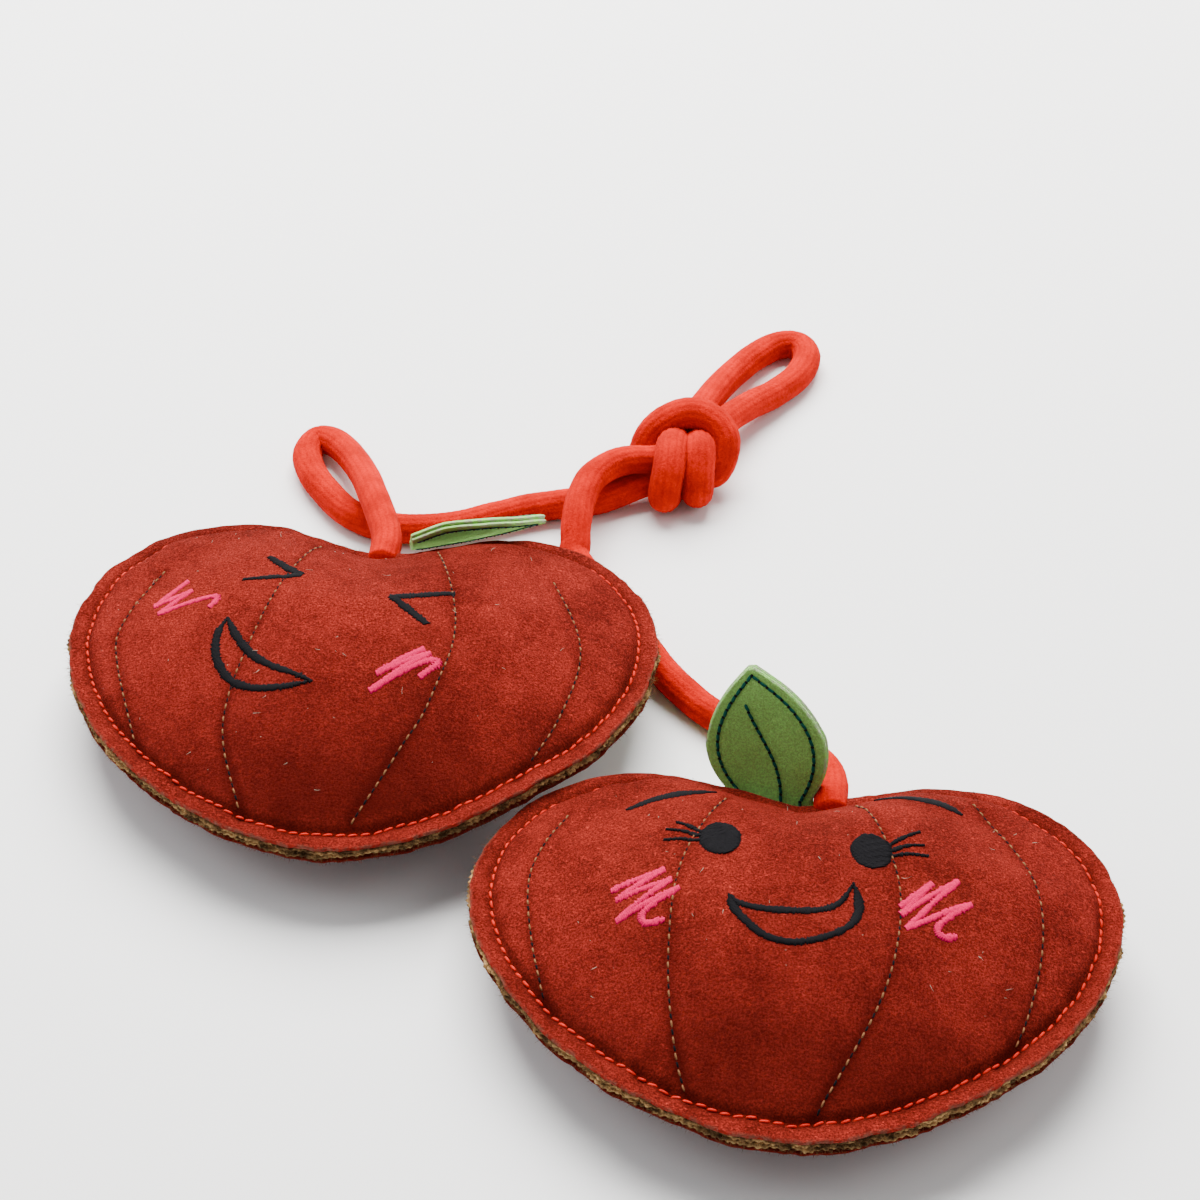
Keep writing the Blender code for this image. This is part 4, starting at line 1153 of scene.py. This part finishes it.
def leaf_layer(name, part, low, high, shrink):
    """One suede layer of a leaf, with a soft, pale cut edge."""
    surface, _ = leaf_surface(name)
    tail = LEAF_TAILS[name]
    lengthwise = (1 - np.cos(np.linspace(0, np.pi, 70))) / 2 * (LEAF_LENGTH * 0.985 + tail) - tail
    crosswise = np.sin(np.linspace(-np.pi / 2, np.pi / 2, 45))
    half = leaf_half_width(lengthwise) - shrink
    half += 0.0002 * value_noise(lengthwise, lengthwise * 0, 0.004, 77)
    a = np.repeat(lengthwise[:, None], 45, axis=1)
    b = half[:, None] * crosswise[None, :]
    middle, thick = (low + high) / 2, (high - low) / 2
    border = np.minimum(half[:, None] * (1 - np.abs(crosswise))[None, :],
                        np.minimum(a + tail + 0.0004, LEAF_LENGTH * 0.985 - a))
    rounding = np.clip(border / 0.0005, 0, 1) ** 0.5
    top = surface(a, b, middle + thick * np.maximum(rounding, 0.35))
    under = surface(a, b, middle - thick * np.maximum(rounding, 0.35))
    rows, columns = a.shape
    count = rows * columns
    grid = np.arange(count).reshape(rows, columns)
    quads = np.stack([grid[:-1, :-1], grid[:-1, 1:], grid[1:, 1:], grid[1:, :-1]], axis=-1).reshape(-1, 4)
    faces = quads.tolist() + (quads[:, ::-1] + count).tolist()
    rim = list(grid[0]) + list(grid[1:, -1]) + list(grid[-1, -2::-1]) + list(grid[-2:0:-1, 0])
    faces += [(rim[i], rim[(i + 1) % len(rim)], rim[(i + 1) % len(rim)] + count, rim[i] + count)
              for i in range(len(rim))]
    points = np.concatenate([top.reshape(-1, 3), under.reshape(-1, 3)])
    obj = new_piece(f"{name}_leaf_{part}_suede", points, [tuple(int(i) for i in f) for f in faces], look("leaf suede"))
    face_outwards(obj)
    pale = np.clip(1.15 - border.ravel() / 0.0007, 0, 1)
    add_values(obj, "cut", np.concatenate([pale, pale]))
    # Painted shade along the line of the stitching
    stitch_line = np.exp(-(((border.ravel() - 0.0031) / 0.0007) ** 2)) * 0.35
    add_values(obj, "burnish", np.concatenate([stitch_line, stitch_line]))
    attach(obj, f"{name}_leaf")
    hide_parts(f"{name}_leaf_{part}")


def leaf_stitches(name):
    """Stitching inside the leaf's edge, and a curved vein, with short black beads at the needle holes as painted
    shade.
    """
    surface, front = leaf_surface(name)
    reach = LEAF_LENGTH * 0.985
    low = -LEAF_TAILS[name] + 0.0012
    steps = np.linspace(low, reach - 0.0030, 48)
    right = np.stack([steps, np.maximum(leaf_half_width(steps) - 0.0034, 0.0004)], axis=1)
    edge = np.concatenate([right, [[reach - 0.0020, 0]], right[::-1] * (1, -1)])
    share = np.linspace(0, 1, 36)
    vein = np.stack([low + share * (0.0315 - low), 0.0026 * np.sin(np.pi * (share * 1.35 + 0.02)) - 0.0008 * share],
                    axis=1)
    threads = [look("leaf thread"), look("black thread")]
    for node, line, face_side in (("edge", edge, 1), ("vein", vein, 1), ("edge", edge, -1)):
        path = along(line, 0.0027)
        a = path[:-1] + 0.03 * (path[1:] - path[:-1])
        b = path[:-1] + 0.97 * (path[1:] - path[:-1])
        reach_out = path[1:-1] - path[:-2]
        holes = path[1:-1] - 0.14 * reach_out, path[1:-1] + 0.14 * reach_out
        a, b = np.concatenate([a, holes[0]]), np.concatenate([b, holes[1]])
        # Painted shade: the short black beads at each needle hole
        dark = np.arange(len(a)) >= len(path) - 1
        height = face_side * (GAP / 2 + 0.0012 + np.where(dark, 0.00028, 0.00018))
        start, stop = surface(*a.T, height), surface(*b.T, height)
        normals = np.tile(front * face_side, (len(a), 1))
        label = f"{name}_leaf_{node}_thread" + ("" if face_side > 0 else "_back")
        obj = lay_stitches(label, start, stop, normals, 0.00095, 0.0005, threads, pick=dark, slant=5)
        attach(obj, f"{name}_leaf")
        if face_side > 0:
            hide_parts(f"{name}_leaf_{node}_stitch")


# ---------------------------------------------------------------- rope


def knit_tube(name, path, seed, swell=1.0):
    """A felted knit tube along a path, its columns and stitches in the mesh; swell fattens it."""
    columns = bpy.context.scene.fruit_rope.columns
    path = along(path, 0.0006)
    tangent, first, second = parallel_frames(path)
    run = run_of(path)[:, None]
    around = 84
    angle = np.linspace(0, 2 * np.pi, around, endpoint=False)[None, :]
    twisted = angle + 9 * run * 0.6
    column = (twisted * columns / (2 * np.pi)) % 1 - 0.5
    valley = np.exp(-(((np.abs(column) - 0.5) / 0.16) ** 2))
    stitch = np.sin(2 * np.pi * (run / 0.0024 + 1.1 * np.abs(column)))
    lumps = value_noise(run * np.ones_like(angle), angle * 0.004, 0.007, seed)
    radius = swell * ROPE / 2 - 0.00002 - 0.00014 * valley + 0.00004 * stitch + 0.00012 * lumps
    ends = np.minimum(run, run[-1] - run)
    radius = radius * np.sqrt(np.clip(ends / 0.0022, 0.06, 1))
    points = (path[:, None] + radius[..., None] * (np.cos(angle)[..., None] * first[:, None]
                                                   + np.sin(angle)[..., None] * second[:, None]))
    faces = ring_faces(len(path), around)
    last = (len(path) - 1) * around
    faces.append(tuple(range(around)))
    faces.append(tuple(last + k for k in range(around)))
    points[..., 2] = np.maximum(points[..., 2], 0.00005)
    obj = new_piece(name, points.reshape(-1, 3), faces, look("rope knit"))
    face_outwards(obj)
    # Painted shade mask for the rope material: deepest in the column valleys and the stitch hollows
    depth = 0.38 * valley + 0.12 * (0.5 - 0.5 * stitch)
    add_values(obj, "groove", depth.ravel())
    return obj, path


def rope_fuzz(name, path, count, seed):
    """Short loose fibres standing off the rope."""
    rng = np.random.default_rng(seed)
    pick = rng.integers(2, len(path) - 2, count)
    tangent, first, second = parallel_frames(path)
    angle = rng.uniform(0, 2 * np.pi, count)[:, None]
    out = np.cos(angle) * first[pick] + np.sin(angle) * second[pick]
    roots = path[pick] + out * (ROPE / 2 - 0.0003)
    directions = out + rng.normal(0, 0.8, (count, 3))
    obj = fibres(name, roots, directions, rng.uniform(0.2, 1, count) ** 2 * 0.0017 + 0.0003, 0.00003,
                 look("rope fibres"), seed + 1)
    points = np.empty(len(obj.data.vertices) * 3)
    obj.data.vertices.foreach_get("co", points)
    points[2::3] = np.maximum(points[2::3], 0.0001)
    obj.data.vertices.foreach_set("co", points)
    return obj


def join_pieces(name, objects):
    """Joins objects into the first of them, keeping what each says."""
    deselect_all()
    for obj in objects:
        obj.select_set(True)
    bpy.context.view_layer.objects.active = objects[0]
    bpy.ops.object.join()
    objects[0].name = name
    return objects[0]


# ---------------------------------------------------------------- operators


class FRUIT_OT_stage(bpy.types.Operator):
    """Camera, soft studio light and a plain pale floor"""

    bl_idname = "fruit.stage"
    bl_label = "Camera and stage"

    def execute(self, context):
        eye_place, aim = Vector((-0.0094, -0.5021, 0.5696)), Vector((-0.0634, 0.1479, 0.0))
        data = bpy.data.cameras.new("camera")
        data.lens = 84
        data.sensor_width = 36
        camera = bpy.data.objects.new("camera", data)
        camera.location = eye_place
        camera.rotation_euler = (aim - eye_place).to_track_quat("-Z", "Y").to_euler()
        context.scene.collection.objects.link(camera)
        context.scene.camera = camera
        for name, place, size, power, tint in (
            ("key softbox", (-0.20, 1.05, 1.25), 1.4, 125, (1.0, 0.985, 0.96)),
            ("left softbox", (-1.3, 0.25, 0.9), 1.0, 9, (0.97, 0.98, 1.0)),
            ("right softbox", (1.2, 0.3, 0.9), 1.0, 8, (1.0, 0.98, 0.96)),
        ):
            lamp = bpy.data.lights.new(name, "AREA")
            lamp.size = size
            lamp.energy = power
            lamp.color = tint
            obj = bpy.data.objects.new(name, lamp)
            obj.location = place
            obj.rotation_euler = (Vector((-0.06, 0.1, 0)) - Vector(place)).to_track_quat("-Z", "Y").to_euler()
            context.scene.collection.objects.link(obj)
        world = bpy.data.worlds.new("studio")
        world.use_nodes = True
        world.node_tree.nodes["Background"].inputs[0].default_value = (1.0, 1.0, 1.0, 1)
        world.node_tree.nodes["Background"].inputs[1].default_value = 0.37
        context.scene.world = world
        deselect_all()
        bpy.ops.mesh.primitive_plane_add(size=8, location=(0, 0.5, 0))
        floor = context.object
        floor.name = "floor"
        bpy.ops.object.transform_apply(location=True, rotation=False, scale=False)
        made, _, shader = blank_material("pale floor", 0.8)
        shader.inputs["Base Color"].default_value = (0.92, 0.92, 0.925, 1)
        floor.data.materials.append(made)
        return {"FINISHED"}


class FRUIT_OT_rope(bpy.types.Operator):
    """The rope: two strands, the tied knot and the hanging loop, with their fuzz"""

    bl_idname = "fruit.rope"
    bl_label = "Rope"

    def execute(self, context):
        count = context.scene.fruit_rope.fuzz
        left = np.concatenate([[(-0.1288, 0.1350, 0.0200), (-0.1286, 0.1410, 0.0200)], np.array(ROPE_LEFT)])
        right = np.concatenate([[(0.0090, 0.0400, 0.0200), (0.0088, 0.0460, 0.0203)], np.array(ROPE_RIGHT)])
        knot_tubes, knot_paths = [], []
        for number, run in enumerate(KNOT_RUNS, 1):
            tube, path = knit_tube(f"rope_knot_turn_{number}", smooth_line(run, 16), 300 + number, swell=1.12)
            knot_tubes.append(tube)
            knot_paths.append(path)
        knot = join_pieces("rope_knot_tied", knot_tubes)
        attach(knot, "rope")
        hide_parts("rope_knot")
        fuzz = join_pieces("rope_knot_fuzz", [rope_fuzz(f"fuzz_{k}", path, count // 3, 310 + k)
                                              for k, path in enumerate(knot_paths)])
        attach(fuzz, "rope")
        for name, route, node, body, start, end in (
            ("rope_left_knit", left, "rope_left_strand", "left_cushion", (-0.1335, 0.162, 0.019), (-0.1288, 0.143, 0.020)),
            ("rope_right_knit", right, "rope_right_strand", "right_cushion", (0.000, 0.073, 0.012), (0.0085, 0.050, 0.020)),
        ):
            tube, path = knit_tube(name, smooth_line(route, 12), 320, swell=1.03)
            hair = rope_fuzz(f"{name}_fuzz", path, count, 330)
            for obj in (tube, hair):
                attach(obj, "rope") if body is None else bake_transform(obj)
            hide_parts(node)
            float(run_of(path)[-1])
        tube, path = knit_tube("rope_loop_knit", smooth_line(ROPE_LOOP, 12), 340, swell=1.03)
        hair = rope_fuzz("rope_loop_fuzz", path, count, 350)
        for obj in (tube, hair):
            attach(obj, "rope")
        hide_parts("rope_loop")
        float(run_of(path)[-1])
        return {"FINISHED"}


class FRUIT_OT_cushions(bpy.types.Operator):
    """Both stuffed cushions: suede panels, jute linings, frayed rims and lint"""

    bl_idname = "fruit.cushions"
    bl_label = "Cushions"

    def execute(self, context):
        for cushion in both_cushions():
            panel(cushion, "face")
            panel(cushion, "back")
            lining(cushion, "face")
            lining(cushion, "back")
            frayed_edge(cushion)
            lint(cushion)
        return {"FINISHED"}


class FRUIT_OT_seams(bpy.types.Operator):
    """The rim seams and the topstitched ribs"""

    bl_idname = "fruit.seams"
    bl_label = "Seams"

    def execute(self, context):
        for cushion in both_cushions():
            rim_seam(cushion)
            rib_seams(cushion)
        return {"FINISHED"}


class FRUIT_OT_faces(bpy.types.Operator):
    """The embroidered eyes, brows, mouths and cheeks"""

    bl_idname = "fruit.faces"
    bl_label = "Embroidered faces"

    def execute(self, context):
        right, left = both_cushions()
        black, pink = look("black thread"), look("pink thread")
        for number, lashes in enumerate(LASHES, 1):
            eye(right, number, lashes)
        for number, brow in enumerate(BROWS, 1):
            satin_strokes(right, f"right_brow_satin_{number}", [f"right_brow_{number}"], [brow], black, "black_thread")
        satin_strokes(right, "right_mouth_satin", ["right_mouth"], RIGHT_MOUTH, black, "black_thread")
        satin_strokes(left, "left_mouth_satin", ["left_mouth"], LEFT_MOUTH, black, "black_thread")
        for number in (1, 2):
            satin_strokes(left, f"left_eye_satin_{number}", [f"left_eye_{number}"],
                          LEFT_EYES[2 * number - 2:2 * number], black, "black_thread")
        for cushion in (right, left):
            for number, cheek in enumerate(CHEEKS[cushion.name], 1):
                strokes = [[a, b] for a, b in zip(cheek[:-4], cheek[1:-3])] + [cheek[-4:]]
                satin_strokes(cushion, f"{cushion.name}_cheek_satin_{number}", [f"{cushion.name}_cheek_{number}"],
                              strokes, pink, "pink_thread", widths=2.05)
        return {"FINISHED"}


class FRUIT_OT_leaves(bpy.types.Operator):
    """Both two-layer suede leaves and their stitching"""

    bl_idname = "fruit.leaves"
    bl_label = "Leaves"

    def execute(self, context):
        for name in LEAVES:
            leaf_layer(name, "front", GAP / 2 - 0.0001, GAP / 2 + 0.0012, 0.0)
            leaf_layer(name, "back", -GAP / 2 - 0.0012, -GAP / 2 + 0.0001, -0.0002)
            leaf_stitches(name)
        return {"FINISHED"}


class FRUIT_PT_panel(bpy.types.Panel):
    """Lists the steps and their settings"""

    bl_label = "Fruit cushions"
    bl_idname = "FRUIT_PT_panel"
    bl_space_type = "VIEW_3D"
    bl_region_type = "UI"
    bl_category = "Fruit"

    def draw(self, context):
        for step in STEPS:
            self.layout.operator(step.bl_idname)
        for settings in SETTINGS:
            held = getattr(context.scene, f"fruit_{settings}")
            for name in held.bl_rna.properties.keys():
                if name not in ("rna_type", "name"):
                    self.layout.prop(held, name)


STEPS = (FRUIT_OT_stage, FRUIT_OT_rope, FRUIT_OT_cushions, FRUIT_OT_seams, FRUIT_OT_faces, FRUIT_OT_leaves)
SETTINGS = {"suede": FRUIT_SuedeSettings, "threads": FRUIT_ThreadSettings, "rope": FRUIT_RopeSettings}


def both_cushions():
    return (
        Cushion("right", (0, 0), 0, RIGHT_LENGTH, RIGHT_PRESS, 1000),
        Cushion("left", LEFT_PLACE, LEFT_TURN, LEFT_LENGTH, LEFT_LIFT, 2000),
    )


def register():
    for kind in (*SETTINGS.values(), *STEPS, FRUIT_PT_panel):
        bpy.utils.register_class(kind)
    for name, kind in SETTINGS.items():
        setattr(bpy.types.Scene, f"fruit_{name}", bpy.props.PointerProperty(type=kind))


def unregister():
    for name in SETTINGS:
        delattr(bpy.types.Scene, f"fruit_{name}")
    for kind in reversed((*SETTINGS.values(), *STEPS, FRUIT_PT_panel)):
        bpy.utils.unregister_class(kind)


def main():
    register()
    bpy.ops.fruit.stage()
    bpy.ops.fruit.rope()
    bpy.ops.fruit.cushions()
    bpy.ops.fruit.seams()
    bpy.ops.fruit.faces()
    bpy.ops.fruit.leaves()


if __name__ == "__main__":
    main()
